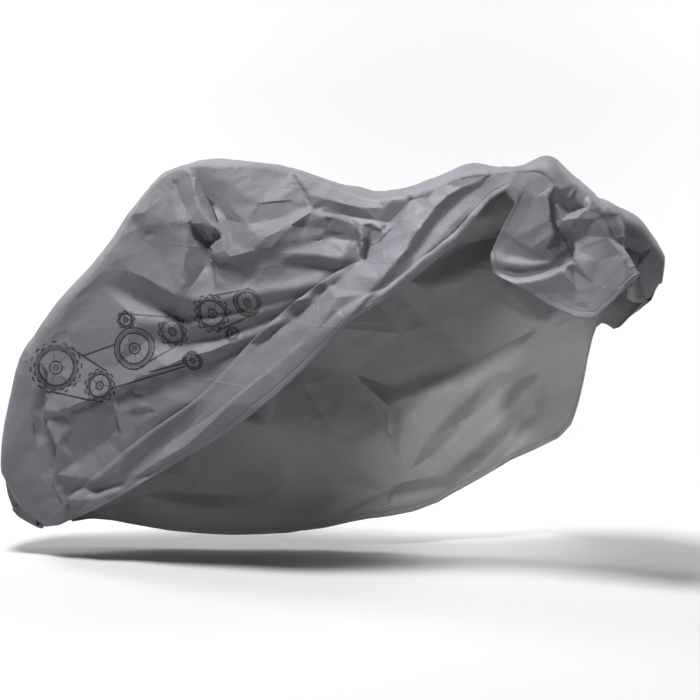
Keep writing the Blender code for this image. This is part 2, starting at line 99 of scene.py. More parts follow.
# lapAt: share of the way down where the lapped fold's edge lies; lap: its overlap; roll: hem's radius
nearColumns = ("place", "x", "y", "z", "lapAt", "lap", "roll")
nearEdge = (
    ("rear corner", -0.210, -0.045, 0.084, 0.60, 0.000, 0.003),
    ("rear foot", -0.157, -0.065, 0.108, 0.70, 0.002, 0.003),
    ("rear low", -0.073, -0.085, 0.152, 0.76, 0.006, 0.004),
    ("rear middle", 0.027, -0.100, 0.214, 0.77, 0.010, 0.004),
    ("rear rise", 0.138, -0.115, 0.284, 0.78, 0.013, 0.004),
    ("rear slope low", 0.219, -0.130, 0.337, 0.79, 0.016, 0.005),
    ("rear slope middle", 0.284, -0.140, 0.385, 0.78, 0.016, 0.005),
    ("rear slope high", 0.338, -0.145, 0.429, 0.77, 0.016, 0.006),
    ("below peak", 0.384, -0.150, 0.475, 0.77, 0.016, 0.006),
    ("peak back", 0.425, -0.150, 0.518, 0.76, 0.016, 0.007),
    ("peak middle", 0.462, -0.152, 0.556, 0.74, 0.015, 0.008),
    ("peak front", 0.502, -0.155, 0.603, 0.72, 0.013, 0.010),
    ("ahead of peak", 0.543, -0.158, 0.630, 0.65, 0.010, 0.010),
    ("waist back", 0.589, -0.162, 0.661, 0.54, 0.006, 0.011),
    ("waist", 0.643, -0.170, 0.703, 0.42, 0.003, 0.011),
    ("waist front", 0.692, -0.180, 0.745, 0.30, 0.000, 0.011),
    ("rise to hump", 0.740, -0.190, 0.789, 0.24, 0.000, 0.011),
    ("hump back", 0.783, -0.200, 0.843, 0.28, 0.000, 0.010),
    ("hump middle", 0.812, -0.205, 0.882, 0.34, 0.000, 0.009),
    ("hump front", 0.846, -0.208, 0.905, 0.40, 0.000, 0.009),
    ("brow back", 0.868, -0.208, 0.880, 0.45, 0.000, 0.004),
    ("brow front", 0.840, -0.206, 0.820, 0.50, 0.000, 0.004),
    ("brow end", 0.818, -0.202, 0.765, 0.50, 0.000, 0.004),
    ("flap back", 0.826, -0.202, 0.722, 0.50, 0.000, 0.004),
    ("flap rear fold", 0.895, -0.208, 0.689, 0.50, 0.000, 0.004),
    ("flap middle", 0.950, -0.215, 0.656, 0.50, 0.000, 0.004),
    ("flap low point", 1.010, -0.222, 0.630, 0.50, 0.000, 0.004),
    ("flap front fold", 1.049, -0.225, 0.631, 0.50, 0.000, 0.004),
    ("flap tip", 1.137, -0.215, 0.721, 0.50, 0.000, 0.004),
    ("behind flap", 1.116, -0.150, 0.700, 0.50, 0.000, 0.004),
    ("nose back", 1.120, -0.100, 0.676, 0.50, 0.000, 0.004),
    ("nose top", 1.142, -0.060, 0.665, 0.50, 0.000, 0.004),
    ("nose front", 1.168, -0.030, 0.662, 0.50, 0.000, 0.003),
    ("front tip", 1.190, -0.010, 0.672, 0.50, 0.000, 0.003),
)

farColumns = ("place", "x", "y", "z")
farEdge = (
    ("rear corner", -0.206, 0.055, 0.072),
    ("rear foot", -0.166, 0.078, 0.076),
    ("rear low", -0.120, 0.100, 0.069),
    ("rear middle", -0.044, 0.120, 0.054),
    ("rear rise", 0.032, 0.140, 0.042),
    ("rear slope low", 0.113, 0.150, 0.038),
    ("rear slope middle", 0.181, 0.160, 0.036),
    ("rear slope high", 0.252, 0.170, 0.037),
    ("below peak", 0.316, 0.175, 0.041),
    ("peak back", 0.366, 0.180, 0.047),
    ("peak middle", 0.417, 0.190, 0.055),
    ("peak front", 0.467, 0.200, 0.066),
    ("ahead of peak", 0.526, 0.205, 0.080),
    ("waist back", 0.587, 0.210, 0.092),
    ("waist", 0.645, 0.215, 0.105),
    ("waist front", 0.703, 0.220, 0.127),
    ("rise to hump", 0.759, 0.220, 0.162),
    ("hump back", 0.821, 0.220, 0.203),
    ("hump middle", 0.883, 0.220, 0.244),
    ("hump front", 0.946, 0.215, 0.272),
    ("brow back", 1.000, 0.212, 0.302),
    ("brow front", 1.034, 0.210, 0.342),
    ("brow end", 1.050, 0.208, 0.395),
    ("flap back", 1.062, 0.206, 0.455),
    ("flap rear fold", 1.070, 0.205, 0.510),
    ("flap middle", 1.078, 0.200, 0.555),
    ("flap low point", 1.087, 0.195, 0.588),
    ("flap front fold", 1.099, 0.185, 0.600),
    ("flap tip", 1.112, 0.170, 0.597),
    ("behind flap", 1.126, 0.150, 0.588),
    ("nose back", 1.139, 0.125, 0.595),
    ("nose top", 1.154, 0.090, 0.617),
    ("nose front", 1.168, 0.050, 0.640),
    ("front tip", 1.188, 0.020, 0.667),
)

# How many rows the coarse grid has between a panel's parts, from the ridge down
rowCounts = {"shoulder": 5, "nearWall": 13, "nearBand": 3, "farWall": 11}
hemShape = {
    "rollAngles": (0, 35, 70, 105, 140, 180, 215),
    "rollFull": 0.012,       # a hem rolled to this radius or more is a full roll
    "rollMost": 0.2,         # of the panel's height
    "rollInset": 0.15,       # how far inward the roll sits, in radii
    "singleUntil": 0.3,      # a hem rolled less than this counts as a single layer
    "flatStep": 0.011,       # spacing of its rows where it lies flat
    "shortPanel": 0.30,      # a shorter panel has closer rows
    "wave": 0.004,           # how far the hem waves in and out
    "wavePitch": 0.23,
    "waveReach": 0.15,       # and how far up from it the wave is seen
    "sharpWidth": 0.10,      # the drape is angular this far from its ridge and hems
    "sharpHem": 0.85,
    "sharpRidge": 0.70,
}
lapShape = {
    "depth": 0.016,
    "openUnder": 0.1,        # a lap closed less than this counts as a single layer
    # down and out of each row across the lapped fold, in depths
    "rows": ((-0.45, 0.00), (0.90, -0.05), (1.10, 0.25), (0.25, 0.45), (-0.05, 0.70), (0.35, 0.95)),
}

# Folds: each is a broken line of points (x, z, out) in millimetres, with out counted from the drape.
# Between the lines the cloth is flat, as crisp film folds. A pair of close lines is a step.
nearFolds = (
    # upper part, from the back
    ("above the ridge", "crisp", (-95, 750, 0), (-36, 840, 0), (9, 916, 0), (73, 964, 0), (208, 975, 0),
        (351, 968, 0), (442, 940, 0), (532, 908, 0), (625, 915, 0), (680, 942, 0), (745, 975, 0),
        (880, 983, 0)),
    ("slope light facet", "crisp", (6, 843, 13), (19, 881, 8), (58, 915, 5)),
    ("slope facet edge", "crisp", (34, 840, 16), (50, 870, 12), (63, 910, 6)),
    ("short crease crest", "crisp", (67, 920, 6), (70, 885, 12), (80, 862, 14)),
    ("short crease valley", "crisp", (77, 911, 4), (89, 883, 8), (104, 860, 10)),
    ("crest left of the dark crease", "crisp", (111, 937, 4), (126, 896, 11), (141, 861, 17),
        (165, 829, 20), (186, 809, 19)),
    ("dark crease", "crisp", (123, 942, 0), (145, 892, -2), (164, 860, -5), (181, 832, -6)),
    ("narrow double ridge", "crisp", (169, 860, 0), (188, 826, 12), (203, 786, 20), (211, 756, 24)),
    ("narrow double valley", "crisp", (181, 860, 0), (205, 831, 2), (220, 787, 12)),
    ("left side of the V", "crisp", (211, 863, 6), (254, 820, 14), (292, 782, 24)),
    ("right side of the V", "crisp", (292, 782, 24), (350, 812, 20), (405, 851, 13), (435, 863, 8)),
    ("inside the V", "crisp", (300, 827, 9), (347, 842, 9), (381, 859, 9)),
    ("upper M", "crisp", (200, 919, 4), (236, 892, 8), (276, 868, 9), (294, 901, 5), (310, 934, 1)),
    ("light facet foot", "crisp", (278, 865, 8), (316, 869, 10), (386, 871, 11)),
    ("light facet left", "crisp", (316, 873, 12), (324, 911, 4), (344, 944, 1)),
    ("light facet crest", "crisp", (346, 942, 3), (364, 910, 8), (383, 878, 11)),
    ("light facet valley", "crisp", (354, 930, 1), (373, 901, 5), (395, 867, 8)),
    ("strip crest", "crisp", (361, 938, 5), (380, 910, 11), (395, 890, 12), (439, 879, 13),
        (523, 861, 10), (572, 864, 5)),
    ("strip foot", "crisp", (412, 855, 4), (491, 844, 2), (559, 836, 1)),
    ("small crumple crest", "crisp", (389, 824, 10), (431, 837, 13), (445, 831, 8), (461, 838, 13),
        (477, 834, 11)),
    ("small crumple foot", "crisp", (384, 817, 8), (441, 812, 5), (494, 804, 2)),
    ("lobe edge", "crisp", (171, 765, 14), (177, 751, 19), (190, 742, 21), (223, 744, 22),
        (267, 756, 22), (318, 767, 21), (367, 778, 14), (413, 790, 5), (452, 801, -1)),
    ("lobe foot", "crisp", (165, 760, 4), (172, 741, 8), (190, 731, 10), (225, 734, 11), (269, 745, 12),
        (320, 756, 12), (369, 768, 9), (416, 782, 3), (455, 794, -2)),
    ("turned edge", "crisp", (2, 799, 8), (23, 809, 15), (67, 820, 20), (95, 823, 22), (123, 821, 22),
        (151, 820, 20), (182, 809, 17)),
    ("under the turned edge", "crisp", (12, 792, 7.5), (35, 798, 14), (68, 803, 19), (95, 806, 21),
        (116, 807, 20)),
    ("pocket facet", "crisp", (142, 810, 8), (168, 788, 9), (184, 806, 11)),
    ("pocket", "crisp", (133, 805, -4), (152, 783, -12), (166, 771, -18), (171, 753, -8)),
    ("pocket right", "crisp", (177, 793, -8), (189, 798, 2)),
    ("packing crease", "crisp", (123, 805, 20), (117, 772, 25), (116, 730, 28), (112, 686, 30),
        (111, 644, 31)),
    ("panel's left edge", "crisp", (21, 781, 12), (38, 758, 12), (53, 733, 14), (75, 699, 20),
        (108, 646, 30)),
    ("right of the packing crease", "crisp", (148, 801, 0), (154, 766, -2), (158, 728, 0),
        (138, 686, 14)),
    ("dark fan crease", "crisp", (169, 744, 0), (174, 716, 3), (180, 683, 8)),
    ("light fan crease", "crisp", (179, 737, 9), (184, 707, 13), (188, 681, 17), (190, 663, 18)),
    ("fan facet", "crisp", (266, 700, 4), (229, 680, 9), (196, 668, 14)),
    ("crest over the trough", "crisp", (-94, 708, 4), (-38, 707, 7), (-5, 697, 10), (23, 686, 14),
        (66, 664, 22), (110, 642, 30)),
    ("dark trough", "soft", (-104, 670, -2), (-41, 649, -8), (13, 630, -12), (72, 613, -11),
        (109, 600, -6)),
    ("puckers' foot", "crisp", (-57, 739, 8), (-7, 780, 6)),
    ("first tight ridge", "soft", (323, 750, 15), (372, 752, 18), (419, 749, 19), (470, 744, 16),
        (507, 744, 4)),
    ("over the first ridge", "soft", (344, 763, 8), (418, 765, 5), (479, 760, 5)),
    ("under the first", "soft", (298, 738, 13.8), (323, 735, 10), (372, 733, 2.5), (431, 728, -3),
        (489, 723, -4)),
    ("apex ridge", "soft", (111, 640, 30), (153, 634, 27), (202, 640, 25), (283, 654, 22),
        (374, 675, 19), (434, 691, 12)),
    ("over the apex ridge", "soft", (155, 652, 16), (206, 661, 12), (283, 675, 8), (373, 694, 5),
        (433, 710, 2)),
    ("under the apex ridge", "soft", (123, 617, 2), (170, 611, -5), (235, 622, -9), (304, 638, -8),
        (386, 659, -3), (425, 674, -1)),
    ("lower ridge", "soft", (-7, 587, 4), (72, 580, 12), (142, 585, 16), (207, 598, 18), (258, 611, 18),
        (312, 629, 18), (374, 647, 14), (407, 660, 5)),
    ("under the lower ridge", "soft", (22, 551, -6), (108, 544, -10), (190, 560, -13), (271, 588, -13),
        (333, 611, -9), (370, 631, -4)),
    ("small light triangle", "crisp", (411, 786, 1), (446, 791, 0), (486, 758, 12)),
    ("triangle's right side", "crisp", (495, 790, -2), (500, 767, 2)),
    ("double crease dark", "crisp", (506, 823, 5), (511, 791, -5), (514, 765, -6)),
    ("double crease light", "crisp", (524, 824, 9), (527, 796, 12), (528, 770, 10)),
    ("double crease end", "crisp", (541, 817, -1), (544, 785, -1)),
    ("short crease on the waist", "crisp", (543, 829, 5), (566, 816, 7), (578, 802, 1)),
    ("shadow over the band", "crisp", (630, 885, -2), (582, 833, -5), (537, 782, -8), (524, 745, -8),
        (492, 716, -7), (457, 682, -5), (412, 646, -5), (347, 591, -4), (283, 535, -2), (222, 480, 0),
        (153, 408, 0), (96, 346, -1), (51, 303, -2), (0, 250, -3)),
    # lower rear
    ("fold ridge across the side", "crisp", (-242, 357, 6), (-191, 367, 9), (-145, 390, 11),
        (-87, 410, 13), (-48, 428, 13), (5, 454, 13), (63, 482, 13), (118, 507, 12), (181, 526, 12),
        (259, 563, 9), (313, 587, 6), (354, 605, 3)),
    ("crease under the fold ridge", "crisp", (-233, 347, -1), (-191, 357, -2), (-145, 381, -1),
        (-87, 400, -1), (-48, 417, -1), (5, 443, -1), (70, 466, -2), (121, 486, -3), (177, 502, -4),
        (248, 534, -5), (311, 564, -4), (338, 583, -2)),
    ("over the fold ridge", "crisp", (-227, 402, 1), (-146, 441, 1), (-65, 476, 1), (27, 521, 0)),
    ("print area", "crisp", (-181, 631, 2), (-193, 549, -3), (-147, 488, -6)),
    ("under the crease", "crisp", (-22, 422, 0), (34, 423, -1), (99, 435, -2), (173, 467, -5)),
    ("middle of the low part", "crisp", (-11, 338, 2), (42, 372, 3), (111, 400, 3)),
    ("dark facet's top", "crisp", (-147, 364, 3), (-70, 396, 3), (-58, 367, 1)),
    ("dark facet's foot", "crisp", (-187, 289, -5), (-163, 243, -11), (-126, 270, -13), (-85, 301, -13),
        (-57, 330, -9)),
    ("left of the dark facet", "crisp", (-223, 325, 5), (-192, 310, 2), (-165, 329, -2)),
    ("narrow ridge's left side", "crisp", (-75, 392, -1), (-70, 360, -3), (-59, 314, -4),
        (-49, 272, -3)),
    ("narrow ridge", "crisp", (-63, 406, 3), (-54, 367, 5), (-44, 316, 4), (-35, 270, 3)),
    ("small light triangle low", "crisp", (0, 413, -3), (30, 385, 3), (4, 384, 5)),
    ("under the small triangle", "crisp", (5, 376, 0), (33, 377, 0)),
    ("small soft dent", "soft", (84, 369, 0), (101, 355, -2), (82, 336, -2)),
    ("low trough", "soft", (-208, 191, -3), (-152, 179, -9), (-94, 180, -10), (-42, 195, -7),
        (6, 218, -3)),
    ("over the low trough", "crisp", (-204, 214, 2), (-141, 204, 0), (-83, 206, -1), (-53, 221, 0)),
    ("lowest strip", "crisp", (-175, 152, 6), (-117, 158, 8), (-59, 181, 8)),
    ("corner crease light", "crisp", (-212, 186, 4), (-198, 158, 6), (-186, 128, 4)),
    ("corner crease dark", "crisp", (-199, 184, -4), (-186, 156, -5), (-176, 124, -2)),
    ("seam side crest", "crisp", (-225, 525, 2), (-230, 455, 5), (-236, 397, 7), (-237, 369, 8),
        (-228, 327, 9), (-203, 281, 8), (-208, 235, 6), (-216, 190, 4)),
    ("seam side foot", "crisp", (-236, 452, -3), (-246, 368, -8), (-237, 325, -10), (-213, 279, -9),
        (-219, 234, -8), (-227, 188, -6)),
    ("rear strip's dark facet", "crisp", (-252, 485, 3), (-260, 440, 6), (-266, 400, 7),
        (-275, 365, 4)),
    ("rear strip crease", "crisp", (-267, 305, -8), (-250, 301, -10), (-227, 306, -9)),
    ("rear strip lower crest", "crisp", (-266, 282, -5), (-250, 280, -5), (-227, 292, -5)),
    ("rear strip low dark", "crisp", (-251, 206, -8), (-229, 202, -7)),
    # lit band between the lapped edge and the hem
    ("band's edge", "crisp", (647, 886, 6), (602, 834, 0), (554, 780, -2), (544, 739, 0), (508, 708, 5),
        (476, 675, 8), (433, 639, 9), (370, 584, 9), (307, 530, 8), (246, 475, 7), (178, 406, 6),
        (122, 343, 4), (74, 300, 3), (25, 248, 2)),
    ("the hem", "crisp", (-47, 172, 4), (44, 228, 9), (146, 293, 14), (221, 341, 19), (298, 398, 26),
        (348, 441, 30), (397, 493, 31), (438, 536, 28), (498, 604, 19), (573, 652, 7), (650, 712, -8),
        (750, 802, -11)),
    ("big facet's right edge", "crisp", (647, 883, 7), (650, 842, 16), (651, 809, 20)),
    ("right of the big facet", "crisp", (674, 889, 3), (675, 860, 6), (673, 832, 10)),
    ("over the brow", "crisp", (611, 901, 5), (681, 926, 7), (755, 954, 7), (834, 963, 5)),
    ("small bright spot", "crisp", (706, 927, 3), (731, 932, 6), (740, 912, 6)),
    ("second facet crest", "crisp", (458, 675, 11), (467, 655, 17), (463, 634, 24)),
    ("pleat", "crisp", (789, 925, 4), (757, 913, 7), (725, 893, 10), (698, 865, 14), (664, 811, 18),
        (640, 774, 20), (608, 734, 20), (575, 700, 20), (545, 670, 18)),
    ("under the pleat", "crisp", (789, 913, -1), (761, 903, -2), (734, 887, -3), (707, 858, -3),
        (674, 804, 1), (649, 767, 3), (618, 727, 5), (584, 692, 7), (555, 663, 9)),
    ("dark side of the roll", "soft", (784, 901, -1), (754, 875, -1), (720, 839, -1)),
    ("top of the roll", "soft", (794, 895, -1), (765, 865, 0), (731, 831, 2), (688, 777, 5),
        (654, 737, 8), (616, 702, 9), (582, 671, 12)),
    ("band crest", "crisp", (-31, 200, 7), (52, 256, 17), (121, 300, 24), (246, 409, 29),
        (340, 486, 30), (384, 531, 29), (427, 586, 28), (463, 634, 25)),
)

# bunched flap, nose and the cloth at the front
frontFolds = (
    ("facet beside the opening", "crisp", (910, 892, 12.5), (937, 902, 19), (952, 918, 18)),
    ("its right edge", "crisp", (939, 893, 20.6), (947, 843, 20), (957, 812, 19.8)),
    ("dark hook", "crisp", (951, 882, 8.2), (956, 844, 2.8), (965, 817, -1.7)),
    ("its lower edge", "crisp", (869, 803, 4.1), (905, 781, 4.6), (935, 771, 5), (958, 774, 4.1)),
    ("under that edge", "crisp", (865, 795, 1.2), (903, 773, -0.6), (935, 763, -2.6), (960, 766, -1.1)),
    ("upper facets", "crisp", (952, 923, 17.3), (989, 903, 20.3), (1023, 889, 15.6)),
    ("upper short fold", "crisp", (958, 875, 13.4), (974, 840, 19.8), (1008, 845, 20.2),
        (1033, 871, 14.2)),
    ("upper short valley", "crisp", (969, 885, 6.2), (988, 860, 3.1), (1017, 870, 5)),
    ("second short fold", "crisp", (965, 824, 14), (995, 828, 16.5), (1006, 834, 12.4)),
    ("dark middle", "crisp", (964, 790, -10.7), (984, 804, -14.1), (996, 777, -18.6),
        (969, 758, -17.9)),
    ("small light bit", "crisp", (964, 796, -2.2), (996, 802, -1.6)),
    ("light facet's left edge", "crisp", (1005, 811, 3), (1005, 782, 9), (1013, 750, 14)),
    ("left of that edge", "crisp", (986, 808, -8.4), (987, 781, -9.2), (994, 752, -4.3)),
    ("flap's right edge", "crisp", (1037, 889, 13.6), (1045, 846, 11.2), (1068, 806, 11.1),
        (1101, 771, 11.2), (1133, 734, 5.5)),
    ("behind the right edge", "crisp", (1053, 885, 7.7), (1065, 847, 4.3), (1091, 802, 0.7),
        (1123, 767, -0.4), (1156, 741, -1.2)),
    ("facet crease", "crisp", (1003, 755, 12), (1053, 754, 12), (1110, 758, 14)),
    ("facet ridge", "crisp", (1004, 752, 12), (1043, 704, 14), (1047, 643, 10)),
    ("right facet's crest", "crisp", (1072, 650, 17), (1103, 687, 22), (1125, 718, 19)),
    ("low facet's upper edge", "crisp", (889, 704, 8.1), (936, 714, 11.8), (974, 733, 13.6),
        (1004, 752, 14.1)),
    ("dark beside the ridge", "crisp", (997, 736, 1), (1009, 696, 2.5), (1031, 658, 6.3)),
    ("low facet", "crisp", (930, 682, -12.1), (971, 684, -12), (994, 662, -10.4)),
    ("satin fold", "soft", (829, 750, 3.1), (865, 742, 6.8), (906, 738, 6.4), (951, 749, 3)),
    ("over the satin fold", "soft", (838, 768, -2.1), (872, 759, -4), (911, 753, -5.6),
        (947, 758, -6.4)),
    ("under the satin fold", "soft", (841, 728, -11.7), (884, 722, -17.1), (929, 732, -19.2),
        (965, 747, -19.5)),
    ("nose lip", "crisp", (1093, 805, 3.1), (1113, 809, 6.3), (1134, 808, 9.2), (1161, 800, 9.9),
        (1182, 787, 6.3)),
    ("nose recess", "crisp", (1114, 787, -3.7), (1139, 785, -7.8), (1166, 773, -5.3)),
    ("nose crest", "crisp", (1062, 883, 10.6), (1113, 851, 12.2), (1154, 820, 10.8), (1182, 803, 6)),
)

farFolds = (
    ("first diagonal crest", "soft", (667, 294, -6), (747, 388, -12), (832, 467, -6)),
    ("first diagonal valley", "soft", (704, 260, 6), (783, 351, 9), (866, 433, 4)),
    ("second diagonal crest", "soft", (710, 204, -6), (810, 299, -12), (905, 408, -6)),
    ("second diagonal valley", "soft", (747, 169, 6), (844, 256, 9), (936, 369, 5)),
    ("third diagonal crest", "soft", (777, 165, -5), (882, 265, -9), (972, 354, -4)),
    ("third diagonal valley", "crisp", (818, 171, 4), (903, 240, 6), (984, 309, 4)),
    ("fold under the shadow", "soft", (589, 379, -4), (685, 412, -10), (812, 451, -6)),
    ("fold over it", "soft", (572, 424, 6), (669, 457, 8), (790, 497, 5)),
    ("facet edge", "crisp", (556, 337, 3), (571, 381, -8), (599, 394, -5)),
    ("facet side", "crisp", (571, 381, -8), (577, 325, -7), (581, 271, -2)),
    ("facet valley", "crisp", (604, 369, 5), (608, 313, 6), (602, 257, 4)),
    ("bottom crease", "crisp", (335, 66, -2), (457, 115, -9), (568, 159, -6)),
    ("under the bottom crease", "crisp", (356, 51, 5), (472, 98, 6), (584, 139, 5)),
    ("short bottom crease", "crisp", (569, 113, -3), (596, 180, -8), (628, 212, -3)),
    ("bottom middle", "soft", (292, 146, 4), (390, 144, 8), (476, 161, 4)),
    ("bottom left crest", "soft", (27, 118, -4), (125, 105, -8), (232, 103, -4)),
    ("bottom left valley", "soft", (11, 143, 4), (119, 136, 7), (236, 134, 5)),
    ("low middle", "soft", (418, 226, -6), (526, 209, -8), (607, 232, -3)),
    ("low left crest", "crisp", (-192, 116, -3), (-66, 161, -9), (61, 195, -4)),
    ("low left valley", "crisp", (-171, 91, 4), (-50, 131, 6), (77, 165, 4)),
    ("front strip's edge", "soft", (957, 590, 3), (968, 480, -2), (985, 340, -5)),
    ("rear crease", "soft", (-300, 440, 3), (-50, 400, 18), (220, 360, 6)),
    ("rear valley", "soft", (-240, 540, -3), (0, 500, -16.5), (260, 470, -7.5)),
    ("slope crease", "crisp", (-40, 840, 4.5), (120, 730, 18), (280, 600, 7.5)),
    ("slope valley", "crisp", (-100, 720, -3), (60, 640, -10.5), (200, 550, -4.5)),
    ("peak crease", "crisp", (140, 940, 4.5), (180, 830, 13.5), (220, 720, 6)),
    ("peak valley", "crisp", (240, 920, -3), (310, 750, -18), (380, 580, -9)),
    ("waist crease", "crisp", (340, 920, 4.5), (470, 740, 18), (600, 560, 7.5)),
    ("waist second crease", "soft", (420, 880, 3), (540, 730, 13.5), (680, 580, 6)),
    ("waist valley", "soft", (520, 820, -7.5), (680, 840, -15), (840, 860, -7.5)),
    ("brow crease", "soft", (600, 700, 4.5), (760, 790, 15), (920, 890, 6)),
    ("brow valley", "soft", (660, 680, -4.5), (800, 740, -10.5), (940, 830, -4.5)),
    ("front crease", "crisp", (960, 900, 4.5), (1000, 770, 13.5), (1040, 640, 6)),
    ("rear low crease", "crisp", (-260, 260, 4), (-120, 240, 16), (20, 270, 6)),
    ("middle soft", "soft", (160, 520, 4), (320, 480, 18), (480, 460, 6)),
    ("middle low soft", "soft", (120, 360, -6), (280, 330, -12), (440, 300, -4)),
)

# folds on top of the cover, in millimetres
topFolds = (
    # shape, x1, y1, x2, y2, width, height
    ("round", 80, 0, 240, 0, 50, 6),
    ("round", 900, -170, 970, -180, 50, 16),
    ("round", 900, 170, 970, 180, 50, 18),
    ("round", 760, 0, 840, 0, 45, 10),
    ("round", 860, -90, 980, -80, 50, -14),
    ("round", 860, 90, 980, 100, 50, -16),
    ("crease", 460, 30, 840, 150, 35, 10),
    ("crease", 480, -30, 800, -150, 35, 10),
    ("round", 400, 0, 700, 0, 30, -8),
)


def straightThrough(values, counts):
    # points on straight lines from each value to the next
    result = []
    for row, count in enumerate(counts):
        for step in range(count):
            result.append(values[row] + (values[row + 1] - values[row]) * (step / count))
    result.append(values[-1])
    return np.array(result)


def smoothThrough(values, counts):
    # points on a smooth curve through the values, with counts steps from each to the next
    result = []
    last = len(values) - 1
    for row in range(last):
        before = values[max(row - 1, 0)]
        start = values[row]
        end = values[row + 1]
        after = values[min(row + 2, last)]
        for step in range(counts[row]):
            t = step / counts[row]
            bend = (end - before) * t + (2 * before - 5 * start + 4 * end - after) * t ** 2
            bend += (3 * start - before - 3 * end + after) * t ** 3
            result.append(start + bend / 2)
    result.append(values[-1])
    return np.array(result)


def readTable(names, rows, through):
    # each column of a table by its name, with a section added between each two
    counts = [2] * (len(rows) - 1)
    return {name: through([row[place] for row in rows], counts)
            for place, name in enumerate(names) if place > 0}


def spaced(start, end, count):
    return [start + (end - start) * (place + 1) / (count + 1) for place in range(count)]


def baseOut(share, shoulderShare, shoulderOut, edgeOut):
    # how far out the drape is: round under the ridge, then straight to the edge
    if share < shoulderShare:
        left = 1 - share / shoulderShare
        return shoulderOut * math.sqrt(max(1 - left * left, 0.0))
    down = (share - shoulderShare) / (1 - shoulderShare)
    return shoulderOut + (edgeOut - shoulderOut) * down


def shoulderSteps(shoulderShare):
    # rows round the shoulder at even angles
    count = rowCounts["shoulder"]
    angles = [math.radians(90.0 * step / count) for step in range(1, count + 1)]
    return [(shoulderShare * (1 - math.cos(angle)), 0.0, 1.0) for angle in angles]


def hemRows(radius, length):
    # the last rows before the hem's edge: rolled where the roll is thick, else flat
    amount = min(radius / hemShape["rollFull"], 1.0) ** 2
    free = 1.0 if amount < hemShape["singleUntil"] else 0.0
    flatStep = hemShape["flatStep"] * min(length / hemShape["shortPanel"], 1.0)
    rows = []
    for row, degrees in enumerate(hemShape["rollAngles"]):
        angle = math.radians(degrees)
        rolledBack = radius + radius * math.cos(angle)
        rolledOut = radius * math.sin(angle) - hemShape["rollInset"] * radius
        flatBack = (len(hemShape["rollAngles"]) - 1 - row) * flatStep
        share = 1 - (amount * rolledBack + (1 - amount) * flatBack) / length
        rows.append((share, amount * rolledOut, free))
    return rows


def nearSteps(length, drop, lapAt, lap, roll):
    # the near panel's rows as (share down, way out, free) from just under the ridge to the hem;
    # a row is free where the cloth is a single layer, so that its points may move onto a fold
    depth = lapShape["depth"]
    shoulderShare = min(drop / length, coverSettings["shoulderMost"])
    hem = hemRows(min(roll, hemShape["rollMost"] * length), length)
    folded = [(lapAt + down * depth / length, out * depth) for down, out in lapShape["rows"]]
    lapped = [(share, 0.0) for share in spaced(shoulderShare, folded[0][0], rowCounts["nearWall"])]
    lapped += folded
    for share in spaced(folded[-1][0], hem[0][0], rowCounts["nearBand"]):
        left = (hem[0][0] - share) / (hem[0][0] - folded[-1][0])
        lapped.append((share, folded[-1][1] * left))
    even = spaced(shoulderShare, hem[0][0], len(lapped))
    closed = min(lap / depth, 1.0)
    first = len(lapped) - rowCounts["nearBand"] - len(folded)
    steps = shoulderSteps(shoulderShare)
    for row, ((share, out), evenShare) in enumerate(zip(lapped, even)):
        single = closed < lapShape["openUnder"] or not first <= row < first + len(folded)
        steps.append((closed * share + (1 - closed) * evenShare, closed * out, float(single)))
    return steps + hem, shoulderShare


def farSteps(length, drop):
    shoulderShare = min(drop / length, coverSettings["shoulderMost"])
    steps = shoulderSteps(shoulderShare)
    for row in range(1, rowCounts["farWall"] + 1):
        steps.append((shoulderShare + (1 - shoulderShare) * row / rowCounts["farWall"], 0.0, 1.0))
    return steps, shoulderShare


def sideGrid(side, ridgeTable, edgeTable):
    # the drape of one side: columns along the cover, rows down from the ridge
    sign = -1.0 if side == "near" else 1.0
    columns = []
    for column in range(len(ridgeTable["x"])):
        ridgeX, ridgeZ, drop = (ridgeTable[name][column] for name in ("x", "z", "drop"))
        drop *= coverSettings["shoulderDrop"]
        edgeX, edgeY, edgeZ = (edgeTable[name][column] for name in ("x", "y", "z"))
        length = math.hypot(edgeX - ridgeX, edgeZ - ridgeZ)
        if side == "near":
            lapAt, lap, roll = (edgeTable[name][column] for name in ("lapAt", "lap", "roll"))
            steps, shoulderShare = nearSteps(length, drop, lapAt, max(lap, 0.0), roll)
        else:
            steps, shoulderShare = farSteps(length, drop)
        points = []
        for share, out, free in steps:
            wide = baseOut(share, shoulderShare, ridgeTable[side][column], abs(edgeY)) + out
            hemNear = max(0.0, 1 - (1 - share) * length / hemShape["waveReach"])
            wave = hemShape["wave"] * hemNear * math.sin(2 * math.pi * edgeX / hemShape["wavePitch"])
            x = ridgeX + (edgeX - ridgeX) * share
            z = ridgeZ + (edgeZ - ridgeZ) * share
            points.append((x, sign * (wide + wave), z, free))
        columns.append(points)
    return np.array(columns)


def unitSteps(grid, axis):
    steps = np.diff(grid, axis=axis)
    steps = steps / np.maximum(np.linalg.norm(steps, axis=2, keepdims=True), 1e-9)
    first = np.take(steps, [0], axis=axis)
    last = np.take(steps, [-1], axis=axis)
    return np.concatenate([first, steps], axis=axis) + np.concatenate([steps, last], axis=axis)


def gridNormals(grid):
    normals = np.cross(unitSteps(grid, 0), unitSteps(grid, 1))
    return normals / np.maximum(np.linalg.norm(normals, axis=2, keepdims=True), 1e-9)


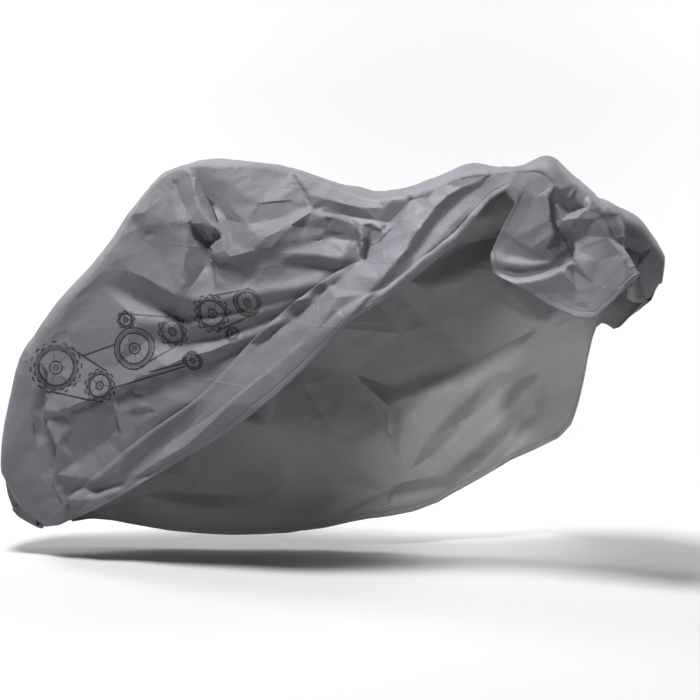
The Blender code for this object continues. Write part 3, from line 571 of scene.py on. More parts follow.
def coarseCover(through):
    # rows from the near hem over the ridge to the far hem, with how flat each point lies
    ridgeTable = readTable(ridgeColumns, ridge, through)
    near = sideGrid("near", ridgeTable, readTable(nearColumns, nearEdge, through))
    far = sideGrid("far", ridgeTable, readTable(farColumns, farEdge, through))
    none = np.zeros_like(ridgeTable["x"])
    seam = np.stack([ridgeTable["x"], none, ridgeTable["z"], none], axis=1)
    whole = np.concatenate([near[:, ::-1], seam[:, None], far], axis=1)
    whole, free = whole[..., :3], whole[..., 3]
    seamRow = near.shape[1]
    count = rowCounts["shoulder"]
    flatness = np.zeros(whole.shape[:2])
    top = slice(seamRow - count, seamRow + count + 1)
    flatness[:, top] = np.clip(gridNormals(whole)[:, top, 2], 0, 1) ** 2
    free[:, [0, -1]] = 0
    return whole, flatness, free, seamRow


def countsFor(grid, axis, size):
    # how many fine steps each coarse step gets, from the mean of its longer half
    steps = np.linalg.norm(np.diff(grid, axis=axis), axis=2)
    steps = np.sort(steps, axis=1 - axis)
    half = steps.shape[1 - axis] // 2
    longer = np.take(steps, range(half, steps.shape[1 - axis]), axis=1 - axis)
    return [max(2, int(round(float(length) / size))) for length in longer.mean(axis=1 - axis)]


def refined(values, columnSteps, rowSteps, through=smoothThrough):
    # a coarse grid's values on the fine grid
    fine = through(values, columnSteps)
    return np.swapaxes(smoothThrough(np.swapaxes(fine, 0, 1), rowSteps), 0, 1)


def lengthDown(grid):
    # how far down each row lies, measured on the cloth
    steps = np.linalg.norm(np.diff(grid, axis=1), axis=2)
    return np.concatenate([np.zeros((len(grid), 1)), np.cumsum(steps, axis=1)], axis=1)


def sharpShare(grid, seam):
    # how angular the drape is: most at the ridge and the hems, where the film folds sharply
    down = lengthDown(grid)
    fromHems = np.minimum(down, down[:, -1:] - down)
    fromRidge = np.abs(down - down[:, seam:seam + 1])
    atHem = np.clip(1 - fromHems / hemShape["sharpWidth"], 0, 1)
    atRidge = np.clip(1 - fromRidge / hemShape["sharpWidth"], 0, 1)
    return np.maximum(atHem * hemShape["sharpHem"], atRidge * hemShape["sharpRidge"])[..., None]


foldSettings = {
    "nearDepth": 1.40,         # how strongly the folds stand out
    "farDepth": 1.9,
    "sharpAngle": 15.0,        # folds sharper than this get a hard line, in degrees
    "leastBend": 0.06,         # bends under this stay between mesh points
    "pull": 0.75,              # how far a mesh point may move onto a fold, in columns
    "leastArea": 0.12,         # the share of its area that a squeezed cell keeps
    "mostOut": 0.004,          # how far a moved point may come out to stay on the drape
    "tries": 12,
    "softTimes": 4,            # how often soft folds are evened out
    "softReach": 0.022,
    "softFull": 1.5,           # over 1, the middle of the reach is wholly soft
    "evenKeep": 0.4,           # evening out: what a point keeps of its height
    "evenTake": 0.15,          # and takes from each neighbour
    "layerTimes": 6,           # how often the way out is evened where layers start
    "upward": 0.3,             # how much the way out counts upward as outside
    "rimAlong": (-0.6, 1.5, 8),    # the flat rim round the folds: from, to, points a side
    "rimHeights": (-0.2, 1.2),
}
crushSettings = {
    "cell": 0.085,             # large and small facets of the crushed film
    "height": 0.0025,
    "farTimes": 1.8,
    "topTimes": 0.7,
    "fineCell": 0.032,
    "fineHeight": 0.0006,
    "shift": 0.4,              # how far a facet's corner strays, in cells
    "alongRange": (-0.5, 1.4),     # what the facets cover
    "heightRange": (-0.1, 1.15),
    "topPlace": 0.4,           # where on the net the top of the cover is read
}


def readFolds(folds):
    # kind and points of each fold, in metres
    return [(kind, [(px / 1000, pz / 1000, out / 1000) for px, pz, out in line])
            for name, kind, *line in folds]


def netOf(folds):
    # the flat triangles between folds, and a flat rim well outside the cloth
    points, heights, edges = [], [], []
    for kind, line in folds:
        for place, (px, pz, out) in enumerate(line):
            if place:
                edges.append((len(points) - 1, len(points)))
            points.append((px, pz))
            heights.append(out)
    for px in np.linspace(*foldSettings["rimAlong"]):
        for pz in foldSettings["rimHeights"]:
            points.append((px, pz))
            heights.append(0.0)
    return triangulated(points, heights, edges)


def crushedNet(cell, height, seed):
    # random flat facets, as film that has been crushed
    rng = np.random.default_rng(seed)
    shift = crushSettings["shift"]
    points, heights = [], []
    for px in np.arange(*crushSettings["alongRange"], cell):
        for pz in np.arange(*crushSettings["heightRange"], cell):
            points.append((px + rng.uniform(-shift, shift) * cell, pz + rng.uniform(-shift, shift) * cell))
            heights.append(rng.uniform(-1, 1) * height)
    return triangulated(points, heights, [])


def triangulated(points, heights, edges):
    made = geometry.delaunay_2d_cdt([Vector(point) for point in points], edges, [], 0, 1e-6)
    places = np.array([tuple(place) for place in made[0]])
    known = []
    for place, source in zip(places, made[3]):
        if source:
            known.append(heights[source[0]])
        else:
            gaps = np.linalg.norm(np.array(points) - place, axis=1)
            known.append(float(np.mean([heights[index] for index in np.argsort(gaps)[:2]])))
    return places, made[2], np.array(known)


def netHeight(net, x, z):
    # height at each (x, z) on the net's triangles
    places, triangles, known = net
    flatX, flatZ = x.ravel(), z.ravel()
    result = np.zeros(flatX.shape)
    for triangle in triangles:
        (x1, z1), (x2, z2), (x3, z3) = (places[index] for index in triangle)
        area = (x2 - x1) * (z3 - z1) - (x3 - x1) * (z2 - z1)
        if abs(area) < 1e-12:
            continue
        box = (flatX >= min(x1, x2, x3)) & (flatX <= max(x1, x2, x3))
        box &= (flatZ >= min(z1, z2, z3)) & (flatZ <= max(z1, z2, z3))
        index = np.nonzero(box)[0]
        px, pz = flatX[index], flatZ[index]
        second = ((px - x1) * (z3 - z1) - (x3 - x1) * (pz - z1)) / area
        third = ((x2 - x1) * (pz - z1) - (px - x1) * (z2 - z1)) / area
        inside = (second >= -1e-6) & (third >= -1e-6) & (second + third <= 1 + 1e-6)
        index, second, third = index[inside], second[inside], third[inside]
        h1, h2, h3 = (known[place] for place in triangle)
        result[index] = h1 + (h2 - h1) * second + (h3 - h1) * third
    return result.reshape(x.shape)


def netLines(net):
    # the net's edges, with the ones that bend the cloth most first
    places, triangles, known = net
    slopes = {}
    for triangle in triangles:
        corners = [(*places[index], known[index]) for index in triangle]
        normal = np.cross(np.subtract(corners[1], corners[0]), np.subtract(corners[2], corners[0]))
        normal = normal / max(np.linalg.norm(normal), 1e-12)
        for place in range(3):
            edge = tuple(sorted((triangle[place], triangle[place - 1])))
            slopes.setdefault(edge, []).append(normal)
    bends = []
    for (a, b), normals in slopes.items():
        if len(normals) == 2:
            bend = np.linalg.norm(np.cross(normals[0], normals[1]))
            if bend > foldSettings["leastBend"]:
                bends.append((-bend, tuple(places[a]), tuple(places[b])))
    return [(start, end) for bend, start, end in sorted(bends)]


def drawnOntoFolds(points, free, lines, taken):
    # moves the nearest mesh points onto each fold line, so that folds are straight and crisp
    x, z = points[..., 0], points[..., 2]
    for (x1, z1), (x2, z2) in lines:
        length = math.hypot(x2 - x1, z2 - z1)
        if length < 1e-4:
            continue
        reach = coverSettings["columnSize"]
        box = (x > min(x1, x2) - reach) & (x < max(x1, x2) + reach)
        box &= (z > min(z1, z2) - reach) & (z < max(z1, z2) + reach) & free & ~taken
        columns, rows = np.nonzero(box)
        if len(columns) < 2:
            continue
        px, pz = x[columns, rows], z[columns, rows]
        along = np.clip(((px - x1) * (x2 - x1) + (pz - z1) * (z2 - z1)) / length ** 2, 0, 1)
        nearX, nearZ = x1 + along * (x2 - x1), z1 + along * (z2 - z1)
        gap = np.hypot(px - nearX, pz - nearZ)
        start = np.argmin(np.hypot(px - x1, pz - z1))
        end = np.argmin(np.hypot(px - x2, pz - z2))
        acrossColumns = abs(columns[start] - columns[end]) >= abs(rows[start] - rows[end])
        lane = columns if acrossColumns else rows
        order = np.lexsort((gap, lane))
        firsts = order[np.unique(lane[order], return_index=True)[1]]
        firsts = firsts[gap[firsts] < reach * foldSettings["pull"]]
        points[columns[firsts], rows[firsts], 0] = nearX[firsts]
        points[columns[firsts], rows[firsts], 2] = nearZ[firsts]
        taken[columns[firsts], rows[firsts]] = True


def cornerAreas(points):
    # signed areas, seen from the side, of the four triangles that a cell's corners can make
    corners = points[:-1, :-1], points[1:, :-1], points[1:, 1:], points[:-1, 1:]
    areas = []
    for a, b, c in ((0, 1, 2), (0, 2, 3), (0, 1, 3), (1, 2, 3)):
        along, aside = corners[b] - corners[a], corners[c] - corners[a]
        areas.append(along[..., 0] * aside[..., 2] - aside[..., 0] * along[..., 2])
    return np.stack(areas)


def withoutFlips(points, before, taken):
    # puts points back where drawing them onto a fold would squeeze a cell
    wanted = cornerAreas(before)
    lastColumn, lastRow = taken.shape[0] - 1, taken.shape[1] - 1
    for turn in range(foldSettings["tries"]):
        least = foldSettings["leastArea"] * np.abs(wanted)
        bad = (cornerAreas(points) * np.sign(wanted) < least).any(axis=0)
        if not bad.any():
            return
        marked = np.zeros(taken.shape, dtype=bool)
        for column, row in ((0, 0), (1, 0), (1, 1), (0, 1)):
            marked[column:lastColumn + column, row:lastRow + row] |= bad
        marked &= taken
        points[marked] = before[marked]
        taken[marked] = False


def keptOnDrape(points, before):
    # moves each point out or in, so that it stays on the drape where it was moved along it
    along, down = np.zeros_like(before), np.zeros_like(before)
    along[1:-1] = before[2:] - before[:-2]
    down[:, 1:-1] = before[:, 2:] - before[:, :-2]
    turned = along[..., 0] * down[..., 2] - down[..., 0] * along[..., 2]
    usable = np.abs(turned) > 1e-6
    safe = np.where(usable, turned, 1.0)
    moved = points - before
    first = (moved[..., 0] * down[..., 2] - down[..., 0] * moved[..., 2]) / safe
    second = (along[..., 0] * moved[..., 2] - moved[..., 0] * along[..., 2]) / safe
    out = first * along[..., 1] + second * down[..., 1]
    limit = foldSettings["mostOut"]
    points[..., 1] += np.where(usable, np.clip(out, -limit, limit), 0.0)


def topHeight(x, y):
    # the folds on top of the cover, each with soft ends
    total = np.zeros_like(x)
    for shape, *sizes in topFolds:
        x1, y1, x2, y2, width, height = (size / 1000 for size in sizes)
        length = math.hypot(x2 - x1, y2 - y1)
        alongX = (x2 - x1) / length
        alongY = (y2 - y1) / length
        along = (x - x1) * alongX + (y - y1) * alongY
        across = (y - y1) * alongX - (x - x1) * alongY
        ends = np.clip(np.minimum(along + width, length + width - along) / (2 * width), 0, 1)
        profile = np.clip(1 - np.abs(across) / width, 0, 1)
        if shape == "round":
            profile = profile * profile * (3 - 2 * profile)
        total += height * profile * ends * ends * (3 - 2 * ends)
    return total


def evened(heights, times):
    for turn in range(times):
        padded = np.pad(heights, 1, mode="edge")
        around = padded[:-2, 1:-1] + padded[2:, 1:-1] + padded[1:-1, :-2] + padded[1:-1, 2:]
        heights = heights * foldSettings["evenKeep"] + around * foldSettings["evenTake"]
    return heights


def softShare(folds, x, z):
    # 1 on the soft folds, 0 a little away from them
    share = np.zeros(x.shape)
    for kind, line in folds:
        if kind != "soft":
            continue
        for (x1, z1, out), (x2, z2, nextOut) in zip(line, line[1:]):
            length = math.hypot(x2 - x1, z2 - z1)
            along = np.clip(((x - x1) * (x2 - x1) + (z - z1) * (z2 - z1)) / length ** 2, 0, 1)
            gap = np.hypot(x - x1 - along * (x2 - x1), z - z1 - along * (z2 - z1))
            near = foldSettings["softFull"] - gap / foldSettings["softReach"]
            share = np.maximum(share, np.clip(near, 0, 1))
    return share


def sideHeights(points, free, folds, depth, crushDepth, seed):
    # the folds' heights on one side, with its mesh points drawn onto the crisp folds
    folds = readFolds(folds)
    net = netOf(folds)
    crushed = crushedNet(crushSettings["cell"], crushSettings["height"] * crushDepth, seed)
    taken = np.zeros(free.shape, dtype=bool)
    before = points.copy()
    for lines in (netLines(net), netLines(crushed)):
        middles = np.array([np.add(start, end) / 2 for start, end in lines])
        soft = softShare(folds, middles[:, 0], middles[:, 1])
        crispLines = [line for line, share in zip(lines, soft) if share < 0.5]
        drawnOntoFolds(points, free, crispLines, taken)
    withoutFlips(points, before, taken)
    keptOnDrape(points, before)
    x, z = points[..., 0], points[..., 2]
    crisp = netHeight(net, x, z) * depth
    soft = softShare(folds, x, z)
    heights = crisp + (evened(crisp, foldSettings["softTimes"]) - crisp) * soft
    heights += netHeight(crushed, x, z)
    fine = crushedNet(crushSettings["fineCell"], crushSettings["fineHeight"], seed + 1)
    return heights + netHeight(fine, x, z), taken


def outwardFrom(grid, single):
    # the way out of the cloth: square to it in a single layer, and sideways in the lap and the roll
    y = grid[..., 1]
    none = y * 0
    side = np.sign(y)
    outward = gridNormals(grid)
    outside = np.stack([none, side, none + foldSettings["upward"]], axis=2)
    outward *= np.sign((outward * outside).sum(axis=2))[..., None]
    single = evened(single, foldSettings["layerTimes"])[..., None]
    outward = outward * single + np.stack([none, side, none], axis=2) * (1 - single)
    return outward / np.maximum(np.linalg.norm(outward, axis=2, keepdims=True), 1e-9)


def foldedCover():
    cover, crush = coverSettings, crushSettings
    coarse, flatness, free, seamRow = coarseCover(smoothThrough)
    angular = coarseCover(straightThrough)[0]
    columnCounts = countsFor(coarse, 0, cover["columnSize"])
    nearCounts = countsFor(coarse[:, :seamRow + 1], 1, cover["nearRowSize"])
    rowSteps = nearCounts + countsFor(coarse[:, seamRow:], 1, cover["farRowSize"])
    seam = sum(nearCounts)
    whole = refined(coarse, columnCounts, rowSteps)
    sharp = sharpShare(whole, seam)
    whole += (refined(angular, columnCounts, rowSteps, straightThrough) - whole) * sharp
    flat = np.clip(refined(flatness, columnCounts, rowSteps), 0, 1)
    single = np.clip(refined(free, columnCounts, rowSteps), 0, 1)
    free = (single > cover["singleFrom"]) & (flat < cover["flatFrom"])
    heights = np.zeros(flat.shape)
    creased = np.zeros(flat.shape, dtype=bool)
    near = (slice(0, seam), nearFolds + frontFolds, foldSettings["nearDepth"], 1.0, cover["seed"])
    far = (slice(seam + 1, None), farFolds, foldSettings["farDepth"], crush["farTimes"], cover["seed"] + 5)
    for rows, *given in (near, far):
        heights[:, rows], creased[:, rows] = sideHeights(whole[:, rows], free[:, rows], *given)
    meanSteps = np.linalg.norm(np.diff(whole, axis=1), axis=2).mean(axis=0)
    down = np.concatenate([[0], np.cumsum(meanSteps)])
    fade = np.clip(np.abs(down - down[seam]) / cover["ridgeFade"], 0, 1)
    heights *= fade * fade * (3 - 2 * fade)
    result = whole + outwardFrom(whole, single) * heights[..., None]
    x, y = whole[..., 0], whole[..., 1]
    crushed = crushedNet(crush["cell"], crush["height"], cover["seed"] + 9)
    crushedTop = netHeight(crushed, x, y + crush["topPlace"]) * crush["topTimes"]
    result[..., 2] += (topHeight(x, y) + crushedTop) * flat
    return whole, result, creased, seam


def sheetTriangles(points, creased):
    # two triangles a cell, split along a fold where one crosses it, else along the shorter diagonal
    columns, rows = points.shape[:2]
    flat, onFold = points.reshape(-1, 3), creased.ravel()
    faces = []
    for column in range(columns - 1):
        for row in range(rows - 1):
            a = column * rows + row
            b, c, d = a + rows, a + rows + 1, a + 1
            first = onFold[a] and onFold[c]
            second = onFold[b] and onFold[d]
            if first == second:
                first = np.linalg.norm(flat[a] - flat[c]) < np.linalg.norm(flat[b] - flat[d])
            faces += [(a, b, c), (a, c, d)] if first else [(a, b, d), (b, c, d)]
    return faces


def readMesh(items, name, shape, kind=float):
    # one value of every part of a mesh, as an array
    values = np.zeros(shape, dtype=kind)
    items.foreach_get(name, values.ravel())
    return values


def markHardFolds(mesh, onFold):
    # a hard line wherever two faces meet at an angle along a fold
    normals = readMesh(mesh.polygons, "normal", (len(mesh.polygons), 3))
    loopEdges = readMesh(mesh.loops, "edge_index", len(mesh.loops), np.int32)
    ends = readMesh(mesh.edges, "vertices", (len(mesh.edges), 2), np.int32)
    faceOfLoop = np.repeat(np.arange(len(mesh.polygons)), 3)
    order = np.argsort(loopEdges, kind="stable")
    sortedEdges, sortedFaces = loopEdges[order], faceOfLoop[order]
    pairs = np.nonzero(sortedEdges[1:] == sortedEdges[:-1])[0]
    first, second = normals[sortedFaces[pairs]], normals[sortedFaces[pairs + 1]]
    bent = (first * second).sum(axis=1) < math.cos(math.radians(foldSettings["sharpAngle"]))
    edges = sortedEdges[pairs[bent]]
    edges = edges[onFold[ends[edges]].all(axis=1)]
    sharp = np.zeros(len(mesh.edges), dtype=bool)
    sharp[edges] = True
    layer = mesh.attributes.new("sharp_edge", "BOOLEAN", "EDGE")
    layer.data.foreach_set("value", sharp)


def addSheet(name, side, points, base, creased, materials):
    # one panel as a thin sheet; its maps hold the place on the cloth in metres
    rows = points.shape[1]
    mesh = bpy.data.meshes.new(name)
    places = points.reshape(-1, 3) - np.array(restPoint)
    mesh.from_pydata(places.tolist(), [], sheetTriangles(points, creased))
    mesh.update()
    for material in materials:
        mesh.materials.append(material)
    loops = readMesh(mesh.loops, "vertex_index", len(mesh.loops), np.int32)
    steps = np.linalg.norm(np.diff(base[:, rows // 2], axis=0), axis=1)
    along = np.concatenate([[0], np.cumsum(steps)])
    down = lengthDown(base)
    left = down[:, -1:] - down
    seamDown, hemDown = (left, down) if side == "near" else (down, left)
    maps = (
        ("clothPlace", base[..., 0], base[..., 2]),
        ("fromEdges", seamDown, hemDown),
        ("alongCloth", np.repeat(along[:, None], rows, axis=1), down),
    )
    for mapName, first, second in maps:
        layer = mesh.uv_layers.new(name=mapName)
        values = np.stack([first.ravel(), second.ravel()], axis=1)[loops]
        layer.data.foreach_set("uv", values.astype(np.float32).ravel())
    for face in mesh.polygons:
        face.use_smooth = True
    markHardFolds(mesh, creased.ravel())
    sheet = bpy.data.objects.new(name, mesh)
    bpy.context.scene.collection.objects.link(sheet)
    shell = sheet.modifiers.new("thickness", "SOLIDIFY")
    shell.thickness = coverSettings["clothThickness"]
    shell.offset = 0.0
    shell.material_offset = 1
    return sheet


# Short names for the nodes that the film is made of. A value is a number, a colour or a node's output.

def feed(tree, value, socket):
    if isinstance(value, bpy.types.NodeSocket):
        tree.links.new(value, socket)
    else:
        socket.default_value = value


def calc(tree, operation, *values, clamp=False):
    node = tree.nodes.new("ShaderNodeMath")
    node.operation = operation
    node.use_clamp = clamp
    for value, socket in zip(values, node.inputs):
        feed(tree, value, socket)
    return node.outputs[0]


def times(tree, first, second):
    return calc(tree, "MULTIPLY", first, second)


def plus(tree, first, second):
    return calc(tree, "ADD", first, second)


def minus(tree, first, second):
    return calc(tree, "SUBTRACT", first, second)


def gapTo(tree, value, target):
    return calc(tree, "ABSOLUTE", minus(tree, value, target))


def dot(tree, first, second):
    # of two pairs of values
    return plus(tree, times(tree, first[0], second[0]), times(tree, first[1], second[1]))


def most(tree, values):
    total = values[0]
    for value in values[1:]:
        total = calc(tree, "MAXIMUM", total, value)
    return total


def splitVector(tree, vector):
    node = tree.nodes.new("ShaderNodeSeparateXYZ")
    feed(tree, vector, node.inputs[0])
    return node.outputs[0], node.outputs[1]


def mixColour(tree, share, first, second):
    node = tree.nodes.new("ShaderNodeMix")
    node.data_type = "RGBA"
    for value, place in ((share, 0), (first, 6), (second, 7)):
        feed(tree, value, node.inputs[place])
    return node.outputs[2]


def ramp(tree, value, start, end):
    # 0 at start, 1 at end, smooth between them
    node = tree.nodes.new("ShaderNodeMapRange")
    node.interpolation_type = "SMOOTHSTEP"
    for given, place in ((value, 0), (start, 1), (end, 2)):
        feed(tree, given, node.inputs[place])
    return node.outputs[0]


def noise(tree, place, scale, detail=2.0, roughness=0.5):
    node = tree.nodes.new("ShaderNodeTexNoise")
    feed(tree, place, node.inputs["Vector"])
    feed(tree, scale, node.inputs["Scale"])
    node.inputs["Detail"].default_value = detail
    node.inputs["Roughness"].default_value = roughness
    return node.outputs["Fac"]


def startGroup(name, inputs, outputs):
    # inputs by name, each with its usual number, or None for a place; the outputs are all numbers
    group = bpy.data.node_groups.new(name, "ShaderNodeTree")
    for socketName, value in inputs.items():
        kind = "NodeSocketVector" if value is None else "NodeSocketFloat"
        socket = group.interface.new_socket(socketName, in_out="INPUT", socket_type=kind)
        if value is not None:
            socket.default_value = value
    for socketName in outputs:
        group.interface.new_socket(socketName, in_out="OUTPUT", socket_type="NodeSocketFloat")
    return group, group.nodes.new("NodeGroupInput").outputs, group.nodes.new("NodeGroupOutput").inputs


def placeGroup(tree, group, **values):
    # one use of a group in a material or another group
    node = tree.nodes.new("ShaderNodeGroup")
    node.node_tree = group
    for socketName, value in values.items():
        feed(tree, value, node.inputs[socketName])
    return node.outputs


# Effects of the film, all in metres on the cloth
crinkleShape = {
    "detail": 1.0,
    "roughness": 0.4,
    "creaseWidth": 0.045,      # of the noise's whole range
    "slopeWidth": 0.30,
    "creaseRise": 0.12,        # on top of the slope, as a share of it
    "patches": 0.25,           # a cell
    "patchEdge": (0.42, 0.62),
}
packingShape = {"wornScale": 7.0, "wornEdge": (0.42, 0.62), "lean": 0.06, "rise": 0.12}
weaveShape = {"threadRise": 0.00003, "gridRise": 0.00005, "gridWidth": 0.0004}
tintShape = {"toneDetail": 3.0, "toneEdge": (0.3, 0.7), "dustFiner": 5.0, "dustDetail": 8.0,
             "dustEdge": (0.48, 0.75)}
stitchShape = {
    "threadEdge": (0.0008, 0.0002),
    "threadEnds": (0.36, 0.28),
    "threadRise": 0.0006,
    "grooveWidth": 0.0030,
    "grooveDepth": 0.0007,
}


def crinkleGroup():
    # thin raised creases of crushed film, drawn out along one direction and only in patches
    sizes = crinkleShape
    group, given, out = startGroup(
        "film crinkle", {"Place": None, "Cell": 0.05, "Turn": 0.6, "Stretch": 0.45}, ("Height", "Creases"))
    across, down = splitVector(group, given["Place"])
    cosine, sine = calc(group, "COSINE", given["Turn"]), calc(group, "SINE", given["Turn"])
    along = dot(group, (across, down), (cosine, sine))
    aside = minus(group, times(group, down, cosine), times(group, across, sine))
    turned = group.nodes.new("ShaderNodeCombineXYZ")
    feed(group, times(group, along, given["Stretch"]), turned.inputs[0])
    feed(group, aside, turned.inputs[1])
    scale = calc(group, "DIVIDE", 1.0, given["Cell"])
    bumps = noise(group, turned.outputs[0], scale, sizes["detail"], sizes["roughness"])
    away = gapTo(group, bumps, 0.5)
    crease = ramp(group, away, sizes["creaseWidth"], 0.0)
    slope = ramp(group, away, sizes["slopeWidth"], 0.0)
    patches = noise(group, given["Place"], times(group, scale, sizes["patches"]))
    kept = ramp(group, patches, *sizes["patchEdge"])
    height = times(group, calc(group, "MULTIPLY_ADD", crease, sizes["creaseRise"], slope), kept)
    feed(group, times(group, height, given["Cell"]), out["Height"])
    feed(group, times(group, crease, kept), out["Creases"])
    return group


def packingGroup():
    # the faint straight folds of film that was packed in a bag
    sizes = packingShape
    group, given, out = startGroup(
        "packing folds", {"Place": None, "Pitch": 0.15, "Width": 0.004}, ("Height", "Folds"))
    across, down = splitVector(group, given["Place"])
    worn = ramp(group, noise(group, given["Place"], sizes["wornScale"]), *sizes["wornEdge"])
    folds = []
    for value, other in ((across, down), (down, across)):
        tilted = plus(group, value, times(group, other, sizes["lean"]))
        phase = calc(group, "PINGPONG", tilted, times(group, given["Pitch"], 0.5))
        folds.append(ramp(group, phase, given["Width"], 0.0))
    both = times(group, most(group, folds), worn)
    feed(group, times(group, both, times(group, given["Width"], sizes["rise"])), out["Height"])
    feed(group, both, out["Folds"])
    return group


def weaveGroup():
    # the fine plain weave under the coating, with a stronger thread every few millimetres
    group, given, out = startGroup(
        "fine weave", {"Place": None, "Thread": 0.0007, "Grid": 0.006}, ("Height",))
    threads, strong = [], []
    for value in splitVector(group, given["Place"]):
        turns = calc(group, "DIVIDE", value, given["Thread"])
        threads.append(calc(group, "SINE", times(group, turns, 2 * math.pi)))
        phase = calc(group, "PINGPONG", value, times(group, given["Grid"], 0.5))
        strong.append(ramp(group, phase, weaveShape["gridWidth"], 0.0))
    woven = times(group, times(group, *threads), weaveShape["threadRise"])
    ripstop = times(group, most(group, strong), weaveShape["gridRise"])
    feed(group, plus(group, woven, ripstop), out["Height"])
    return group


def tintGroup():
    # slow changes of tone over the film, and paler dust in patches
    sizes = tintShape
    group, given, out = startGroup("dust tint", {"Place": None, "Size": 0.2}, ("Tone", "Dust"))
    scale = calc(group, "DIVIDE", 1.0, given["Size"])
    tone = noise(group, given["Place"], scale, sizes["toneDetail"])
    dust = noise(group, given["Place"], times(group, scale, sizes["dustFiner"]), sizes["dustDetail"])
    feed(group, ramp(group, tone, *sizes["toneEdge"]), out["Tone"])
    feed(group, ramp(group, dust, *sizes["dustEdge"]), out["Dust"])
    return group


def stitchGroup():
    # a row of stitches at a set distance from an edge, in a shallow groove
    sizes = stitchShape
    group, given, out = startGroup(
        "edge stitch", {"Across": 0.0, "Along": 0.0, "Offset": 0.012, "Pitch": 0.004}, ("Thread", "Height"))
    gap = gapTo(group, given["Across"], given["Offset"])
    phase = calc(group, "FRACT", calc(group, "DIVIDE", given["Along"], given["Pitch"]))
    inside = ramp(group, gapTo(group, phase, 0.5), *sizes["threadEnds"])
    thread = times(group, ramp(group, gap, *sizes["threadEdge"]), inside)
    groove = times(group, ramp(group, gap, sizes["grooveWidth"], 0.0), sizes["grooveDepth"])
    feed(group, thread, out["Thread"])
    feed(group, minus(group, times(group, thread, sizes["threadRise"]), groove), out["Height"])
    return group


# The printed line drawing: a plain set of rings, toothed discs and belts
printedDiscs = (
    # x, z, radius, teeth, rays
    (-0.212, 0.470, 0.058, 16, 7),
    (-0.098, 0.432, 0.036, 11, 5),
    (-0.016, 0.523, 0.049, 0, 9),
    (-0.038, 0.590, 0.020, 8, 3),
    (0.078, 0.566, 0.033, 10, 6),
    (0.131, 0.500, 0.021, 0, 4),
    (0.176, 0.612, 0.040, 13, 6),
    (0.262, 0.640, 0.031, 0, 11),
    (0.222, 0.566, 0.016, 7, 3),
)
printedLines = (
    # x1, z1, x2, z2
    (-0.198, 0.528, -0.090, 0.469),
    (-0.226, 0.412, -0.108, 0.395),
    (-0.052, 0.604, 0.070, 0.600),
    (-0.004, 0.474, 0.084, 0.532),
    (0.180, 0.652, 0.264, 0.671),
    (0.184, 0.571, 0.268, 0.609),
    (-0.150, 0.500, -0.066, 0.530),
    (-0.062, 0.428, 0.110, 0.486),
    (0.030, 0.470, 0.112, 0.494),
)
discShape = {
    "toothSteep": 5.0,
    "toothRise": 0.07,         # of the radius, as are the next four
    "outerRing": 0.74,
    "innerRing": 0.26,
    "fillUntil": 0.93,
    "middle": 0.16,
    "lineCore": 0.6,           # the share of a line's width that is full ink
}


def inkOf(group, gap, line):
    # full ink in the middle of a line, fading to its edge
    return ramp(group, gap, line, times(group, line, discShape["lineCore"]))


def discGroup():
    # a toothed disc or plain ring with rays and a filled middle
    sizes = discShape
    group, given, out = startGroup(
        "drawn disc", {"Place": None, "X": 0.0, "Z": 0.0, "Radius": 0.03, "Teeth": 8.0, "Rays": 5.0,
                       "Line": 0.0016}, ("Ink", "Fill"))
    radius = given["Radius"]
    px, pz = splitVector(group, given["Place"])
    aside = minus(group, px, given["X"]), minus(group, pz, given["Z"])
    distance = calc(group, "SQRT", dot(group, aside, aside))
    angle = calc(group, "ARCTAN2", aside[1], aside[0])
    wave = times(group, calc(group, "SINE", times(group, angle, given["Teeth"])), sizes["toothSteep"])
    step = calc(group, "MINIMUM", calc(group, "MAXIMUM", wave, -1.0), 1.0)
    rim = calc(group, "MULTIPLY_ADD", times(group, step, sizes["toothRise"]), radius, radius)
    outer, inner, full, middle = (
        times(group, radius, sizes[name]) for name in ("outerRing", "innerRing", "fillUntil", "middle"))
    halfTurns = times(group, times(group, angle, given["Rays"]), 0.5)
    ray = times(group, calc(group, "ABSOLUTE", calc(group, "SINE", halfTurns)), distance)
    outside = calc(group, "GREATER_THAN", distance, outer)
    inside = calc(group, "LESS_THAN", distance, inner)
    gap = plus(group, ray, plus(group, outside, inside))
    for ring in (rim, outer, inner):
        gap = calc(group, "MINIMUM", gap, gapTo(group, distance, ring))
    feed(group, inkOf(group, gap, given["Line"]), out["Ink"])
    band = times(group, outside, calc(group, "LESS_THAN", distance, full))
    feed(group, calc(group, "MAXIMUM", band, calc(group, "LESS_THAN", distance, middle)), out["Fill"])
    return group


def beltGroup():
    # a straight line from one point to another
    group, given, out = startGroup(
        "drawn line", {"Place": None, "X1": 0.0, "Z1": 0.0, "X2": 0.1, "Z2": 0.0, "Line": 0.0016}, ("Ink",))
    px, pz = splitVector(group, given["Place"])
    whole = minus(group, given["X2"], given["X1"]), minus(group, given["Z2"], given["Z1"])
    aside = minus(group, px, given["X1"]), minus(group, pz, given["Z1"])
    share = calc(group, "DIVIDE", dot(group, whole, aside), dot(group, whole, whole), clamp=True)
    gap = [minus(group, start, times(group, way, share)) for start, way in zip(aside, whole)]
    feed(group, inkOf(group, calc(group, "SQRT", dot(group, gap, gap)), given["Line"]), out["Ink"])
    return group


